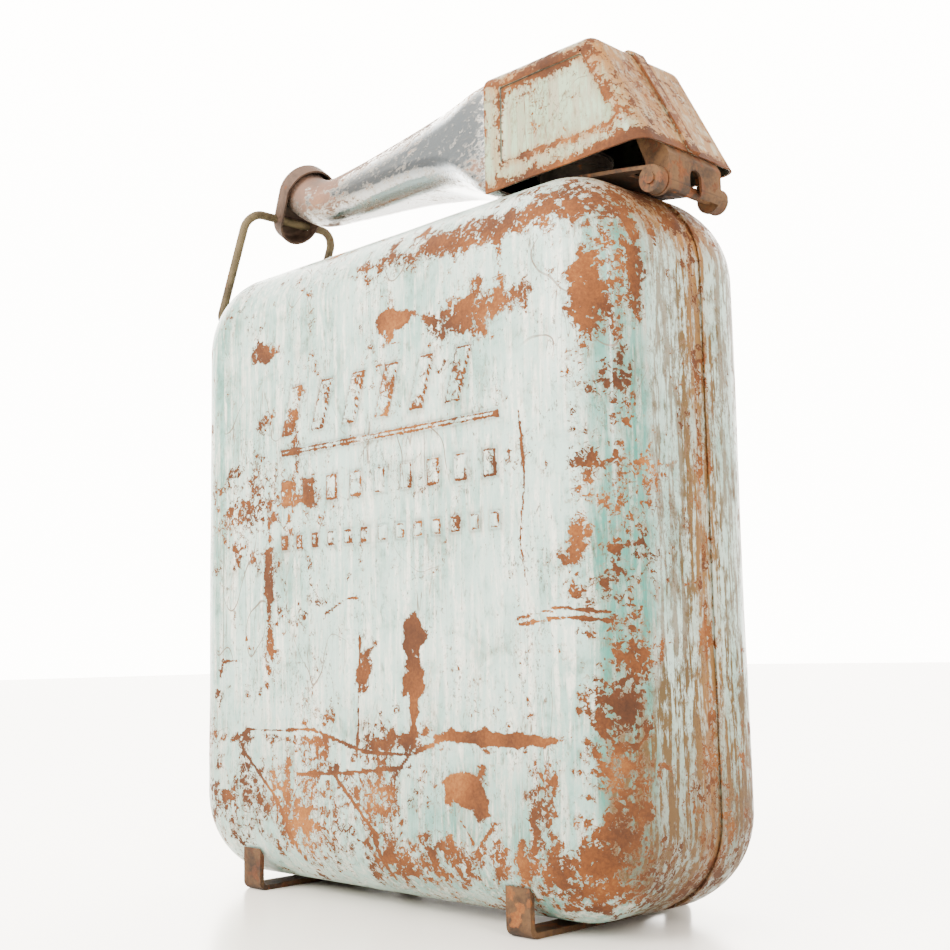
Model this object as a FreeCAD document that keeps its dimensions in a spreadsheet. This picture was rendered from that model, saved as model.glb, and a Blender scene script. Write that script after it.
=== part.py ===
import FreeCAD, Part
import Sketcher

import math
import os

from FreeCAD import Placement, Rotation, Vector

# A one gallon petrol can for the car. Two pressed pans make the flat body. A sheet hood with a tapering
# spout hinges over one top corner: closed, it lies along the top of the can and a sprung stopper inside
# the hood shuts the filler neck; swung over, it is the pouring spout. A wire bail on the other end wall
# carries an oval cap that shuts the nozzle and holds the spout down.
#
# Frame: X along the can's width, hinge at +X and nozzle at -X; the decorated front faces -Y; +Z is up.
# The origin is on the ground below the middle of the can.

# Driving dimensions, in millimetres and degrees. They become the cells of the Sizes sheet.
DIMENSIONS = {
    # How far a cutting shape runs past what it cuts.
    "overrun": 10.0,
    # Body: outline across the front, depth, pressed edges and lap seam.
    "body_width": 236.0,
    "body_depth": 92.5,
    "body_base": 3.0,
    "body_top": 257.0,
    "outline_radius": 33.7,
    "edge_radius": 26.4,
    "sheet": 0.9,
    "seam_front": 3.0,
    "seam_rear": 9.0,
    "lap_clearance": 0.05,
    "lap_length": 13.0,
    # Raised ornament on the front face.
    "relief": 0.8,
    "relief_root": 0.4,
    "ornament_left": -50.0,
    "ornament_width": 122.0,
    "bar_level": 171.0,
    "bar_height": 3.0,
    "flute_level": 179.0,
    "flute_height": 20.0,
    "flute_width": 8.0,
    "flute_slant": 7.0,
    "flute_pitch": 19.0,
    "flute_count": 6,
    "block_level": 151.0,
    "block_height": 10.0,
    "block_width": 7.0,
    "block_pitch": 14.2,
    "block_count": 9,
    "dash_level": 133.5,
    "dash_height": 6.0,
    "dash_width": 5.0,
    "dash_pitch": 9.7,
    "dash_count": 13,
    # Filler neck.
    "neck_along": 70.0,
    "neck_bore": 12.3,
    "neck_wall": 1.0,
    "neck_lip": 14.4,
    "neck_flange": 15.5,
    "neck_height": 11.0,
    "neck_cut": 13.4,
    # Feet: flat strap bent into a shallow U.
    "foot_along": 73.0,
    "foot_width": 11.0,
    "foot_sheet": 2.0,
    "foot_reach": 43.0,
    "foot_tall": 16.4,
    "foot_inner_tall": 13.4,
    "foot_bend": 3.5,
    # Spout hinge.
    "pin_along": 119.0,
    "pin_level": 249.0,
    "pin_radius": 2.0,
    "pin_fit": 0.05,
    "pin_length": 40.0,
    "eye_radius": 4.7,
    "leaf_half": 19.4,
    "leaf_sheet": 1.4,
    "leaf_start": 86.2,
    "leaf_bend": 89.2,
    "leaf_gap": 0.02,
    "leaf_dip": 0.3,
    "leaf_play": 0.4,
    "leaf_cut": 106.0,
    "channel_half": 15.0,
    "channel_sheet": 1.0,
    "channel_face": 124.0,
    "channel_bottom": 248.5,
    "channel_reach": 22.4,
    "channel_clear": 0.05,
    "slot_width": 6.5,
    "slot_top": 255.0,
    "lug_side": 5.0,
    "cheek_depth": 8.0,
    # Hood.
    "hood_half": 27.3,
    "hood_sheet": 1.0,
    "hood_left": 49.5,
    "hood_bottom": 259.5,
    "hood_top": 305.0,
    "hood_apex": 100.0,
    "hood_right": 123.5,
    "hood_heel": 261.0,
    "hood_round": 6.0,
    "panel_depth": 1.2,
    "panel_left": 56.5,
    "panel_right": 112.5,
    "panel_foot": 108.5,
    "panel_peak": 97.5,
    "panel_bottom": 268.4,
    "panel_top": 299.0,
    "panel_heel": 272.0,
    "lap_rib_width": 6.0,
    "lap_rib_height": 1.2,
    "lap_rib_gap": 0.02,
    "lap_rib_nose": 1.7,
    "lap_rib_chamfer": 1.0,
    # Stopper in the hood.
    "washer_radius": 14.0,
    "washer_thick": 3.0,
    "plate_radius": 14.4,
    "plate_thick": 1.2,
    "stem_radius": 2.5,
    "stem_head": 4.5,
    "stem_head_thick": 1.0,
    "stem_top": 300.0,
    "guide_radius": 9.0,
    "guide_flange": 12.0,
    "guide_floor": 284.0,
    "guide_sheet": 1.0,
    "guide_fit": 0.1,
    "clip_radius": 5.5,
    "spring_radius": 5.6,
    "spring_wire": 0.6,
    "spring_turns": 4.0,
    # Bail.
    "bail_along": -124.0,
    "bail_level": 244.0,
    "bail_lean": 24.7,
    "bail_reach": 51.7,
    "bail_half": 24.8,
    "bail_tail": 8.0,
    "bail_wire": 1.9,
    "bail_top_bend": 8.0,
    "bail_low_bend": 4.0,
    "bail_fit": 0.1,
    "bracket_sheet": 1.2,
    "bracket_half": 20.0,
    "bracket_bottom": 200.0,
    "bracket_bend": 221.0,
    "bracket_gap": 0.02,
    # Cap, in its own frame: origin on the bail wire, +Z out of its mouth, -X towards its big end.
    "cap_turn": 128.0,
    "cap_sheet": 0.9,
    "cap_big_radius": 13.0,
    "cap_small_radius": 10.0,
    "cap_big_along": -15.5,
    "cap_small_along": -2.0,
    "cap_mouth": 6.0,
    "cap_back": 3.0,
    "cap_round": 2.5,
    "cap_pad_radius": 10.4,
    "cap_pad_thick": 3.4,
}

# Spout stations from the hood to the end of the nozzle: place along X, middle height, tilt of the
# section about Y, half width, half height and corner radius.
SPOUT_STATIONS = [
    (53.0, 282.0, 0.0, 26.2, 21.9, 5.0),
    (49.5, 282.0, 0.0, 26.2, 21.9, 5.0),
    (39.0, 284.5, 0.0, 25.4, 20.0, 7.0),
    (27.0, 287.6, 0.0, 23.3, 17.0, 9.5),
    (4.0, 290.6, 0.0, 19.0, 14.0, 11.0),
    (-19.0, 291.6, 0.0, 15.8, 12.7, 11.5),
    (-42.0, 292.0, 0.0, 12.7, 11.6, 11.0),
    (-65.0, 292.1, 0.0, 10.5, 10.4, 10.2),
    (-73.0, 292.9, 12.0, 10.3, 10.3, 10.2),
    (-81.0, 295.4, 24.0, 10.2, 10.2, 10.1),
    (-88.0, 299.5, 36.0, 10.1, 10.1, 10.0),
    (-91.7, 302.3, 38.0, 10.1, 10.1, 10.0),
]
STATION_SIZES = ("along", "level", "tilt", "half_width", "half_height", "corner")
BORE_OVERRUN = 1.0

# Edges that lie this close to a flat face, in millimetres, count as belonging to it.
NEAR = 1.0

# Formulas for the sloping back of the hood: how far it runs along X, rises along Z, and its length.
HOOD_RUN = "(hood_right - hood_apex)"
HOOD_RISE = "(hood_top - hood_heel)"
HOOD_SLOPE = f"sqrt({HOOD_RUN} ^ 2 + {HOOD_RISE} ^ 2)"

doc = FreeCAD.newDocument("petrol_can")
sheet = doc.addObject("Spreadsheet::Sheet", "Sizes")


def station_alias(number, size):
    """Name of the cell that holds one size of one spout station."""
    return f"station_{number}_{size}"


def fill_sheet():
    """Write every driving dimension into a cell of its own, with an alias."""
    cells = dict(DIMENSIONS)
    for number, station in enumerate(SPOUT_STATIONS):
        for size, value in zip(STATION_SIZES, station):
            cells[station_alias(number, size)] = value
    for row, (alias, value) in enumerate(cells.items(), start=1):
        sheet.set(f"A{row}", alias)
        sheet.set(f"B{row}", str(value))
        sheet.setAlias(f"B{row}", alias)
    doc.recompute()


def size(alias):
    """A dimension read back from the sheet, as a number."""
    return float(sheet.get(alias))


def bind(thing, **formulas):
    """Bind properties of an object to formulas over the sheet's cells."""
    for name, formula in formulas.items():
        thing.setExpression(name.replace("__", "."), formula)


def cells(formula):
    """The formula with every dimension's name pointed at the sheet."""
    out, word = "", ""
    for letter in formula + " ":
        if letter.isalnum() or letter == "_":
            word += letter
        else:
            out += f"Sizes.{word}" if word in DIMENSIONS else word
            out += letter
            word = ""
    return out.strip()


def new_body(label, along="0", across="0", up="0", turn="0"):
    """An empty PartDesign body, placed and turned about Y by formulas."""
    body = doc.addObject("PartDesign::Body", label)
    body.Label = label
    body.Placement = Placement(Vector(), Rotation(Vector(0, 1, 0), 1))
    bind(
        body,
        Placement__Base__x=cells(along),
        Placement__Base__y=cells(across),
        Placement__Base__z=cells(up),
        Placement__Rotation__Angle=cells(turn),
    )
    return body


def new_sketch(body, role, offset="0"):
    """A sketch on one of the body's own origin planes, moved along the plane's normal."""
    sketch = body.newObject("Sketcher::SketchObject", f"{body.Label}_sketch")
    plane = [p for p in body.Origin.OriginFeatures if p.Role == role][0]
    sketch.AttachmentSupport = [(plane, "")]
    sketch.MapMode = "FlatFace"
    sketch.setExpression("AttachmentOffset.Base.z", cells(offset))
    return sketch


def draw_polygon(sketch, corners):
    """A closed outline whose corners are pairs of formulas, each held by its two distances."""
    first = sketch.GeometryCount
    count = len(corners)
    turn = 2 * math.pi / count
    starts = [Vector(math.cos(turn * i), math.sin(turn * i), 0) for i in range(count)]
    for i in range(count):
        sketch.addGeometry(Part.LineSegment(starts[i], starts[(i + 1) % count]))
    for i, corner in enumerate(corners):
        follower = first + (i + 1) % count
        sketch.addConstraint(Sketcher.Constraint("Coincident", first + i, 2, follower, 1))
        for kind, formula in zip(("DistanceX", "DistanceY"), corner):
            held = sketch.addConstraint(Sketcher.Constraint(kind, -1, 1, first + i, 1, 1.0))
            sketch.setExpression(f"Constraints[{held}]", cells(formula))


def draw_circle(sketch, across, up, radius):
    """A circle held by formulas for its centre and its radius."""
    ring = sketch.addGeometry(Part.Circle(Vector(1, 1, 0), Vector(0, 0, 1), 1))
    for kind, formula in (("DistanceX", across), ("DistanceY", up)):
        held = sketch.addConstraint(Sketcher.Constraint(kind, -1, 1, ring, 3, 1.0))
        sketch.setExpression(f"Constraints[{held}]", cells(formula))
    held = sketch.addConstraint(Sketcher.Constraint("Radius", ring, 1.0))
    sketch.setExpression(f"Constraints[{held}]", cells(radius))


def extrude(body, kind, sketch, length, both=False, back=False):
    """A Pad or a Pocket of the sketch, by a formula for its length."""
    doc.recompute()
    before = body.Shape.Volume if body.Tip else 0.0
    feature = body.newObject(f"PartDesign::{kind}", f"{body.Label}_{kind.lower()}")
    feature.Profile = sketch
    feature.Midplane = both
    feature.Reversed = back
    bind(feature, Length=cells(length))
    doc.recompute()
    grown = body.Shape.Volume - before
    if (grown > 0) != (kind == "Pad"):
        raise RuntimeError(f"{feature.Label} changed the volume by {grown:.1f}")
    return feature


def revolve(body, sketch):
    """A full Revolution of the sketch about its own vertical axis."""
    doc.recompute()
    feature = body.newObject("PartDesign::Revolution", f"{body.Label}_revolution")
    feature.Profile = sketch
    feature.ReferenceAxis = (sketch, ["V_Axis"])
    feature.Angle = 360
    doc.recompute()
    return feature


def span(edge):
    """Lowest and highest corner of an edge's box, as six numbers."""
    box = edge.BoundBox
    return (box.XMin, box.YMin, box.ZMin), (box.XMax, box.YMax, box.ZMax)


def close(a, b):
    """Whether two lengths agree to a hundredth of a millimetre."""
    return abs(a - b) < 0.01


def flat_at(axis, value):
    """A test for edges that lie in the plane where the axis has that value."""
    return lambda edge: all(close(corner[axis], value) for corner in span(edge))


def along_axis(axis):
    """A test for edges that run along one axis only."""
    others = [i for i in range(3) if i != axis]
    return lambda edge: all(close(span(edge)[0][i], span(edge)[1][i]) for i in others)


def through(spots, reach=0.2):
    """A test for edges whose middle is near one of the points, given as (X, Y, Z), None for any."""

    def test(edge):
        box = edge.BoundBox.Center
        for spot in spots:
            if all(s is None or abs(s - c) < reach for s, c in zip(spot, box)):
                return True
        return False

    return test


def round_edges(body, wanted, radius):
    """A Fillet of every edge of the body's tip that passes the test."""
    tip = body.Tip
    names = [f"Edge{i}" for i, edge in enumerate(tip.Shape.Edges, start=1) if wanted(edge)]
    feature = body.newObject("PartDesign::Fillet", f"{body.Label}_fillet")
    feature.Base = (tip, names)
    bind(feature, Radius=cells(radius))
    doc.recompute()
    if not names or "Invalid" in feature.State:
        raise RuntimeError(f"{feature.Label} did not round {names}")
    return feature


def hollow(body, axis, value, thickness):
    """A Thickness that opens the flat face where the axis has that value."""
    tip = body.Tip
    names = []
    for i, face in enumerate(tip.Shape.Faces, start=1):
        box = face.BoundBox
        low, high = (box.XMin, box.YMin, box.ZMin)[axis], (box.XMax, box.YMax, box.ZMax)[axis]
        if close(low, value) and close(high, value):
            names.append(f"Face{i}")
    feature = body.newObject("PartDesign::Thickness", f"{body.Label}_thickness")
    feature.Base = (tip, names)
    feature.Reversed = True
    bind(feature, Value=cells(thickness))
    doc.recompute()
    return feature


def rectangle(left, right, low, high):
    """Corners of an upright rectangle, from formulas."""
    return [(left, low), (right, low), (right, high), (left, high)]


def pan_outline(inset):
    """Outline of the body across its front, drawn in by a formula."""
    half = f"body_width / 2 - ({inset})"
    return rectangle(f"-({half})", half, f"body_base + {inset}", f"body_top - ({inset})")


def cut_neck_hole(body):
    """The round hole in the top of a pan, where the filler neck sits."""
    sketch = new_sketch(body, "XY_Plane", "body_top")
    draw_circle(sketch, "neck_along", "0", "neck_bore")
    extrude(body, "Pocket", sketch, "neck_cut", both=True)


def ornament_row(body, name, corners, pitch, count):
    """One raised shape on the front face, repeated along X."""
    sketch = new_sketch(body, "XZ_Plane", "body_depth / 2 - relief_root")
    draw_polygon(sketch, corners)
    shape = extrude(body, "Pad", sketch, "relief_root + relief")
    pattern = body.newObject("PartDesign::LinearPattern", f"{name}_row")
    pattern.Originals = [shape]
    pattern.Direction = (sketch, ["H_Axis"])
    bind(pattern, Length=cells(f"{pitch} * ({count} - 1)"), Occurrences=cells(count))
    body.Tip = pattern
    doc.recompute()


def front_shell():
    """The deeper pan, with a joggled lip that slides inside the rear pan."""
    body = new_body("front_shell")
    lip = new_sketch(body, "XZ_Plane", "-(seam_front + lap_length)")
    draw_polygon(lip, pan_outline("sheet + lap_clearance"))
    extrude(body, "Pad", lip, "2 * lap_length")
    round_edges(body, along_axis(1), "outline_radius - sheet - lap_clearance")
    sketch = new_sketch(body, "XZ_Plane", "-seam_front")
    draw_polygon(sketch, pan_outline("0"))
    extrude(body, "Pad", sketch, "seam_front + body_depth / 2")
    front = -size("body_depth") / 2
    corners = along_axis(1)
    round_edges(body, lambda edge: corners(edge) and edge.BoundBox.YMin < front + NEAR, "outline_radius")
    round_edges(body, flat_at(1, front), "edge_radius")
    hollow(body, 1, size("seam_front") + size("lap_length"), "sheet")
    cut_neck_hole(body)
    ornament_row(
        body,
        "flute",
        [
            ("ornament_left", "flute_level"),
            ("ornament_left + flute_width", "flute_level"),
            ("ornament_left + flute_width + flute_slant", "flute_level + flute_height"),
            ("ornament_left + flute_slant", "flute_level + flute_height"),
        ],
        "flute_pitch",
        "flute_count",
    )
    for name in ("block", "dash"):
        right, top = f"ornament_left + {name}_width", f"{name}_level + {name}_height"
        corners = rectangle("ornament_left", right, f"{name}_level", top)
        ornament_row(body, name, corners, f"{name}_pitch", f"{name}_count")
    bar = new_sketch(body, "XZ_Plane", "body_depth / 2 - relief_root")
    right, top = "ornament_left + ornament_width", "bar_level + bar_height"
    draw_polygon(bar, rectangle("ornament_left", right, "bar_level", top))
    extrude(body, "Pad", bar, "relief_root + relief")
    return body


def rear_shell():
    """The shallower pan, whose edge laps over the front pan's lip."""
    body = new_body("rear_shell")
    sketch = new_sketch(body, "XZ_Plane", "-seam_rear")
    draw_polygon(sketch, pan_outline("0"))
    extrude(body, "Pad", sketch, "body_depth / 2 - seam_rear", back=True)
    round_edges(body, along_axis(1), "outline_radius")
    round_edges(body, flat_at(1, size("body_depth") / 2), "edge_radius")
    hollow(body, 1, size("seam_rear"), "sheet")
    cut_neck_hole(body)
    return body


def filler_neck():
    """A turned collar with a flange on the can's top and a flat lip for the stopper."""
    body = new_body("filler_neck", along="neck_along", up="body_top")
    sketch = new_sketch(body, "XZ_Plane")
    draw_polygon(
        sketch,
        [
            ("neck_bore", "0"),
            ("neck_flange", "0"),
            ("neck_flange", "neck_wall"),
            ("neck_bore + neck_wall", "neck_wall"),
            ("neck_bore + neck_wall", "neck_height - neck_wall"),
            ("neck_lip", "neck_height - neck_wall"),
            ("neck_lip", "neck_height"),
            ("neck_bore", "neck_height"),
        ],
    )
    revolve(body, sketch)
    return body


def foot(label, side):
    """A flat strap bent into a U; its two ends are welded to the can's lower rounded edges."""
    body = new_body(label, along=f"{side} * foot_along")
    sketch = new_sketch(body, "YZ_Plane")
    draw_polygon(
        sketch,
        [
            ("-foot_reach", "0"),
            ("foot_reach", "0"),
            ("foot_reach", "foot_tall"),
            ("foot_reach - foot_sheet", "foot_inner_tall"),
            ("foot_reach - foot_sheet", "foot_sheet"),
            ("foot_sheet - foot_reach", "foot_sheet"),
            ("foot_sheet - foot_reach", "foot_inner_tall"),
            ("-foot_reach", "foot_tall"),
        ],
    )
    extrude(body, "Pad", sketch, "foot_width", both=True)
    reach, strap = size("foot_reach"), size("foot_sheet")
    outer = through([(None, -reach, 0), (None, reach, 0)])
    round_edges(body, outer, "foot_bend")
    inner = through([(None, strap - reach, strap), (None, reach - strap, strap)])
    round_edges(body, inner, "foot_bend - foot_sheet")
    return body


def hinge_leaf():
    """A strap on the can's top corner, with two eyes rolled round the hinge pin."""
    body = new_body("hinge_leaf")
    sketch = new_sketch(body, "XZ_Plane")
    low = "body_top + leaf_gap"
    draw_polygon(
        sketch,
        [
            ("leaf_start", low),
            ("leaf_bend", "body_top - leaf_dip"),
            ("pin_along", "pin_level + eye_radius - leaf_sheet"),
            ("pin_along", "pin_level + eye_radius"),
            ("leaf_bend", "body_top - leaf_dip + leaf_sheet"),
            ("leaf_start", f"{low} + leaf_sheet"),
        ],
    )
    extrude(body, "Pad", sketch, "2 * leaf_half", both=True)
    roll = new_sketch(body, "XZ_Plane")
    draw_circle(roll, "pin_along", "pin_level", "eye_radius")
    extrude(body, "Pad", roll, "2 * leaf_half", both=True)
    gap = new_sketch(body, "XZ_Plane")
    low, high = "pin_level - overrun", "body_top + overrun"
    draw_polygon(gap, rectangle("leaf_cut", "pin_along + overrun", low, high))
    extrude(body, "Pocket", gap, "2 * (channel_half + leaf_play)", both=True)
    bore = new_sketch(body, "XZ_Plane")
    draw_circle(bore, "pin_along", "pin_level", "pin_radius + pin_fit")
    extrude(body, "Pocket", bore, "2 * leaf_half + overrun", both=True)
    return body


def hinge_pin():
    """The plain pin on which the hood swings."""
    pin = doc.addObject("Part::Cylinder", "hinge_pin")
    pin.Placement = Placement(Vector(), Rotation(Vector(1, 0, 0), 90))
    bind(
        pin,
        Radius="Sizes.pin_radius",
        Height="Sizes.pin_length",
        Placement__Base__x="Sizes.pin_along",
        Placement__Base__y="Sizes.pin_length / 2",
        Placement__Base__z="Sizes.pin_level",
    )
    return pin


def heel_point(inward, back):
    """Formulas for a point near the hood's heel: so far inside its back face, and so far up it."""
    along = f"hood_right - {inward} * {HOOD_RISE} / {HOOD_SLOPE} - {back} * {HOOD_RUN} / {HOOD_SLOPE}"
    up = f"hood_heel - {inward} * {HOOD_RUN} / {HOOD_SLOPE} + {back} * {HOOD_RISE} / {HOOD_SLOPE}"
    return along, up


def bend_level(face, inward):
    """Formula for the height where an upright face meets a plane that far inside the hood's back."""
    drop = f"({face} - hood_right) * {HOOD_RISE} / {HOOD_RUN}"
    return f"hood_heel - {drop} - {inward} * {HOOD_SLOPE} / {HOOD_RUN}"


def hinge_channel():
    """The pressed channel that joins the hood to the pin: a slotted web and two cheeks."""
    body = new_body("hinge_channel")
    outside = "(hood_sheet + channel_clear)"
    middle = "(hood_sheet + channel_clear + channel_sheet / 2)"
    inside = "(hood_sheet + channel_clear + channel_sheet)"
    inner_face = "(channel_face - channel_sheet)"
    middle_face = "(channel_face - channel_sheet / 2)"
    web = new_sketch(body, "XZ_Plane")
    draw_polygon(
        web,
        [
            ("channel_face", "channel_bottom"),
            ("channel_face", bend_level("channel_face", outside)),
            heel_point(outside, "channel_reach"),
            heel_point(inside, "channel_reach"),
            (inner_face, bend_level(inner_face, inside)),
            (inner_face, "channel_bottom"),
        ],
    )
    extrude(body, "Pad", web, "2 * channel_half", both=True)
    cheek = new_sketch(body, "XZ_Plane")
    draw_polygon(
        cheek,
        [
            (middle_face, "channel_bottom"),
            (middle_face, bend_level(middle_face, middle)),
            heel_point(middle, "channel_reach"),
            heel_point("cheek_depth", "channel_reach"),
            ("pin_along - lug_side", "pin_level + cheek_depth"),
            ("pin_along - lug_side", "pin_level"),
        ],
    )
    extrude(body, "Pad", cheek, "2 * channel_half", both=True)
    lug = new_sketch(body, "XZ_Plane")
    draw_circle(lug, "pin_along", "pin_level", "lug_side")
    extrude(body, "Pad", lug, "2 * channel_half", both=True)
    core = new_sketch(body, "XZ_Plane")
    draw_polygon(
        core,
        [
            (inner_face, "channel_bottom - overrun"),
            (inner_face, bend_level(inner_face, inside)),
            heel_point(inside, "(channel_reach + overrun)"),
            heel_point("(2 * overrun)", "(channel_reach + overrun)"),
            ("pin_along - 2 * overrun", "channel_bottom - overrun"),
        ],
    )
    extrude(body, "Pocket", core, "2 * (channel_half - channel_sheet)", both=True)
    slot = new_sketch(body, "YZ_Plane", "channel_face")
    half = "slot_width / 2"
    draw_polygon(slot, rectangle(f"-{half}", half, "channel_bottom - overrun", f"slot_top - {half}"))
    extrude(body, "Pocket", slot, "4 * channel_sheet", both=True)
    crown = new_sketch(body, "YZ_Plane", "channel_face")
    draw_circle(crown, "0", f"slot_top - {half}", half)
    extrude(body, "Pocket", crown, "4 * channel_sheet", both=True)
    bore = new_sketch(body, "XZ_Plane")
    draw_circle(bore, "pin_along", "pin_level", "pin_radius + pin_fit")
    extrude(body, "Pocket", bore, "2 * channel_half + overrun", both=True)
    return body


def hood_bends(side, inset):
    """A test for the hood half's bends: along the top, down the sloping back and across the apex."""
    wall = side * (size("hood_half") - inset)
    ceiling = size("hood_top") - inset
    left = size("hood_left")

    def test(edge):
        box = edge.BoundBox
        reaches_top = close(box.ZMax, ceiling)
        at_wall = flat_at(1, wall)(edge) and box.XMax > left + NEAR
        at_apex = along_axis(1)(edge) and box.XMin > left + NEAR
        return reaches_top and (at_wall or at_apex)

    return test


def hood_half(label, side):
    """One pressed half of the hood: front is side -1, rear is side +1 and carries the lap rib."""
    body = new_body(label)
    back = side > 0
    outer = new_sketch(body, "XZ_Plane")
    draw_polygon(
        outer,
        [
            ("hood_left", "hood_bottom"),
            ("hood_right", "hood_heel"),
            ("hood_apex", "hood_top"),
            ("hood_left", "hood_top"),
        ],
    )
    extrude(body, "Pad", outer, "hood_half", back=back)
    cavity = new_sketch(body, "XZ_Plane")
    corner = f"hood_apex - hood_sheet * ({HOOD_SLOPE} - {HOOD_RUN}) / {HOOD_RISE}"
    below = f"{heel_point('hood_sheet', '0')[0]} + 2 * overrun * {HOOD_RUN} / {HOOD_RISE}"
    draw_polygon(
        cavity,
        [
            ("hood_left - overrun", "hood_bottom - 2 * overrun"),
            (below, "hood_heel - 2 * overrun"),
            (corner, "hood_top - hood_sheet"),
            ("hood_left - overrun", "hood_top - hood_sheet"),
        ],
    )
    extrude(body, "Pocket", cavity, "hood_half - hood_sheet", back=not back)
    round_edges(body, hood_bends(side, size("hood_sheet")), "hood_round - hood_sheet")
    round_edges(body, hood_bends(side, 0.0), "hood_round")
    panel_corners = [
        ("panel_left", "panel_bottom"),
        ("panel_foot", "panel_bottom"),
        ("panel_right", "panel_heel"),
        ("panel_peak", "panel_top"),
        ("panel_left", "panel_top"),
    ]
    bulge = new_sketch(body, "XZ_Plane", f"{-side} * (hood_half - hood_sheet - panel_depth)")
    draw_polygon(bulge, panel_corners)
    extrude(body, "Pad", bulge, "panel_depth + hood_sheet / 2", back=back)
    recess = new_sketch(body, "XZ_Plane", f"{-side} * (hood_half - panel_depth)")
    draw_polygon(
        recess,
        [
            ("panel_left + hood_sheet", "panel_bottom + hood_sheet"),
            ("panel_foot - hood_sheet", "panel_bottom + hood_sheet"),
            ("panel_right - hood_sheet", "panel_heel"),
            ("panel_peak - hood_sheet", "panel_top - hood_sheet"),
            ("panel_left + hood_sheet", "panel_top - hood_sheet"),
        ],
    )
    extrude(body, "Pocket", recess, "2 * panel_depth", back=not back)
    if back:
        lap_rib(body, "hood_sheet / 2", True)
        lap_rib(body, "-lap_rib_gap", False)
    return body


def lap_rib(body, sunk, back):
    """One side of the raised lap along the hood's middle, sunk so far into the sheet below it."""
    rib = new_sketch(body, "XZ_Plane")
    draw_polygon(
        rib,
        [
            ("hood_left", f"hood_top - ({sunk})"),
            ("hood_apex - lap_rib_nose", f"hood_top - ({sunk})"),
            heel_point(f"({sunk})", f"({HOOD_SLOPE} - lap_rib_nose)"),
            heel_point(f"({sunk})", "0"),
            heel_point("(-lap_rib_height)", "0"),
            heel_point("(-lap_rib_height)", f"({HOOD_SLOPE} - lap_rib_chamfer)"),
            ("hood_apex - lap_rib_chamfer", "hood_top + lap_rib_height"),
            ("hood_left", "hood_top + lap_rib_height"),
        ],
    )
    extrude(body, "Pad", rib, "lap_rib_width / 2", back=back)


def station_wire(number, inset, overrun):
    """One rounded section of the spout, drawn in by the inset and moved along its own normal."""
    along, level, tilt, half_width, half_height, corner = (
        size(station_alias(number, name)) for name in STATION_SIZES
    )
    wide, tall = half_width - inset, half_height - inset
    radius = corner - inset
    straight_wide, straight_tall = wide - radius, tall - radius
    diagonal = radius * math.sqrt(0.5)
    edges = []
    for turn in range(4):
        quarter = Rotation(Vector(1, 0, 0), 90 * turn)
        reach, rise = (straight_wide, straight_tall) if turn % 2 == 0 else (straight_tall, straight_wide)
        start = quarter.multVec(Vector(0, reach + radius, -rise))
        stop = quarter.multVec(Vector(0, reach + radius, rise))
        middle = quarter.multVec(Vector(0, reach + diagonal, rise + diagonal))
        end = quarter.multVec(Vector(0, reach, rise + radius))
        edges.append(Part.LineSegment(start, stop).toShape())
        edges.append(Part.Arc(stop, middle, end).toShape())
    wire = Part.Wire(edges)
    place = Placement(Vector(along, 0, level), Rotation(Vector(0, 1, 0), tilt))
    wire.Placement = place.multiply(Placement(Vector(overrun, 0, 0), Rotation()))
    return wire


def spout_tube():
    """The tapering spout, from the hood's full width down to the round, upturned nozzle."""
    last = len(SPOUT_STATIONS) - 1
    wall = size("sheet")
    outer = [station_wire(number, 0.0, 0.0) for number in range(last + 1)]
    inner = [station_wire(number, wall, 0.0) for number in range(last + 1)]
    inner.insert(0, station_wire(0, wall, BORE_OVERRUN))
    inner.append(station_wire(last, wall, -BORE_OVERRUN))
    solid = Part.makeLoft(outer, True, False)
    bore = Part.makeLoft(inner, True, False)
    spout = doc.addObject("Part::Feature", "spout_tube")
    spout.Shape = solid.cut(bore)
    spout.Placement = Placement()
    return spout


def stopper_guide():
    """The pressed cup under the hood's roof, in which the stopper's stem slides."""
    body = new_body("stopper_guide", along="neck_along")
    sketch = new_sketch(body, "XZ_Plane")
    roof = "hood_top - hood_sheet"
    hole = "stem_radius + guide_fit"
    draw_polygon(
        sketch,
        [
            (hole, "guide_floor"),
            ("guide_radius", "guide_floor"),
            ("guide_radius", f"{roof} - guide_sheet"),
            ("guide_flange", f"{roof} - guide_sheet"),
            ("guide_flange", roof),
            ("guide_radius - guide_sheet", roof),
            ("guide_radius - guide_sheet", "guide_floor + guide_sheet"),
            (hole, "guide_floor + guide_sheet"),
        ],
    )
    revolve(body, sketch)
    return body


def stopper_ring(label, low, high, bore, radius):
    """A flat round piece on the stopper's axis, between two heights."""
    body = new_body(label, along="neck_along")
    sketch = new_sketch(body, "XZ_Plane")
    draw_polygon(sketch, rectangle(bore, radius, low, high))
    revolve(body, sketch)
    return body


def stopper_pieces():
    """The stopper's washer, plate and clip, which all thread onto its stem."""
    seat = "body_top + neck_height"
    top = f"{seat} + washer_thick"
    floor = "guide_floor + guide_sheet"
    return [
        stopper_ring("stopper_washer", seat, top, "stem_radius", "washer_radius"),
        stopper_ring("stopper_plate", top, f"{top} + plate_thick", "stem_radius", "plate_radius"),
        stopper_ring("stem_clip", floor, f"{floor} + guide_sheet", "stem_radius", "clip_radius"),
    ]


def stopper_stem():
    """The stem, with its riveted head under the washer."""
    body = new_body("stopper_stem", along="neck_along")
    sketch = new_sketch(body, "XZ_Plane")
    seat = "body_top + neck_height"
    draw_polygon(
        sketch,
        [
            ("0", f"{seat} - stem_head_thick"),
            ("stem_head", f"{seat} - stem_head_thick"),
            ("stem_head", seat),
            ("stem_radius", seat),
            ("stem_radius", "stem_top"),
            ("0", "stem_top"),
        ],
    )
    revolve(body, sketch)
    return body


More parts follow.
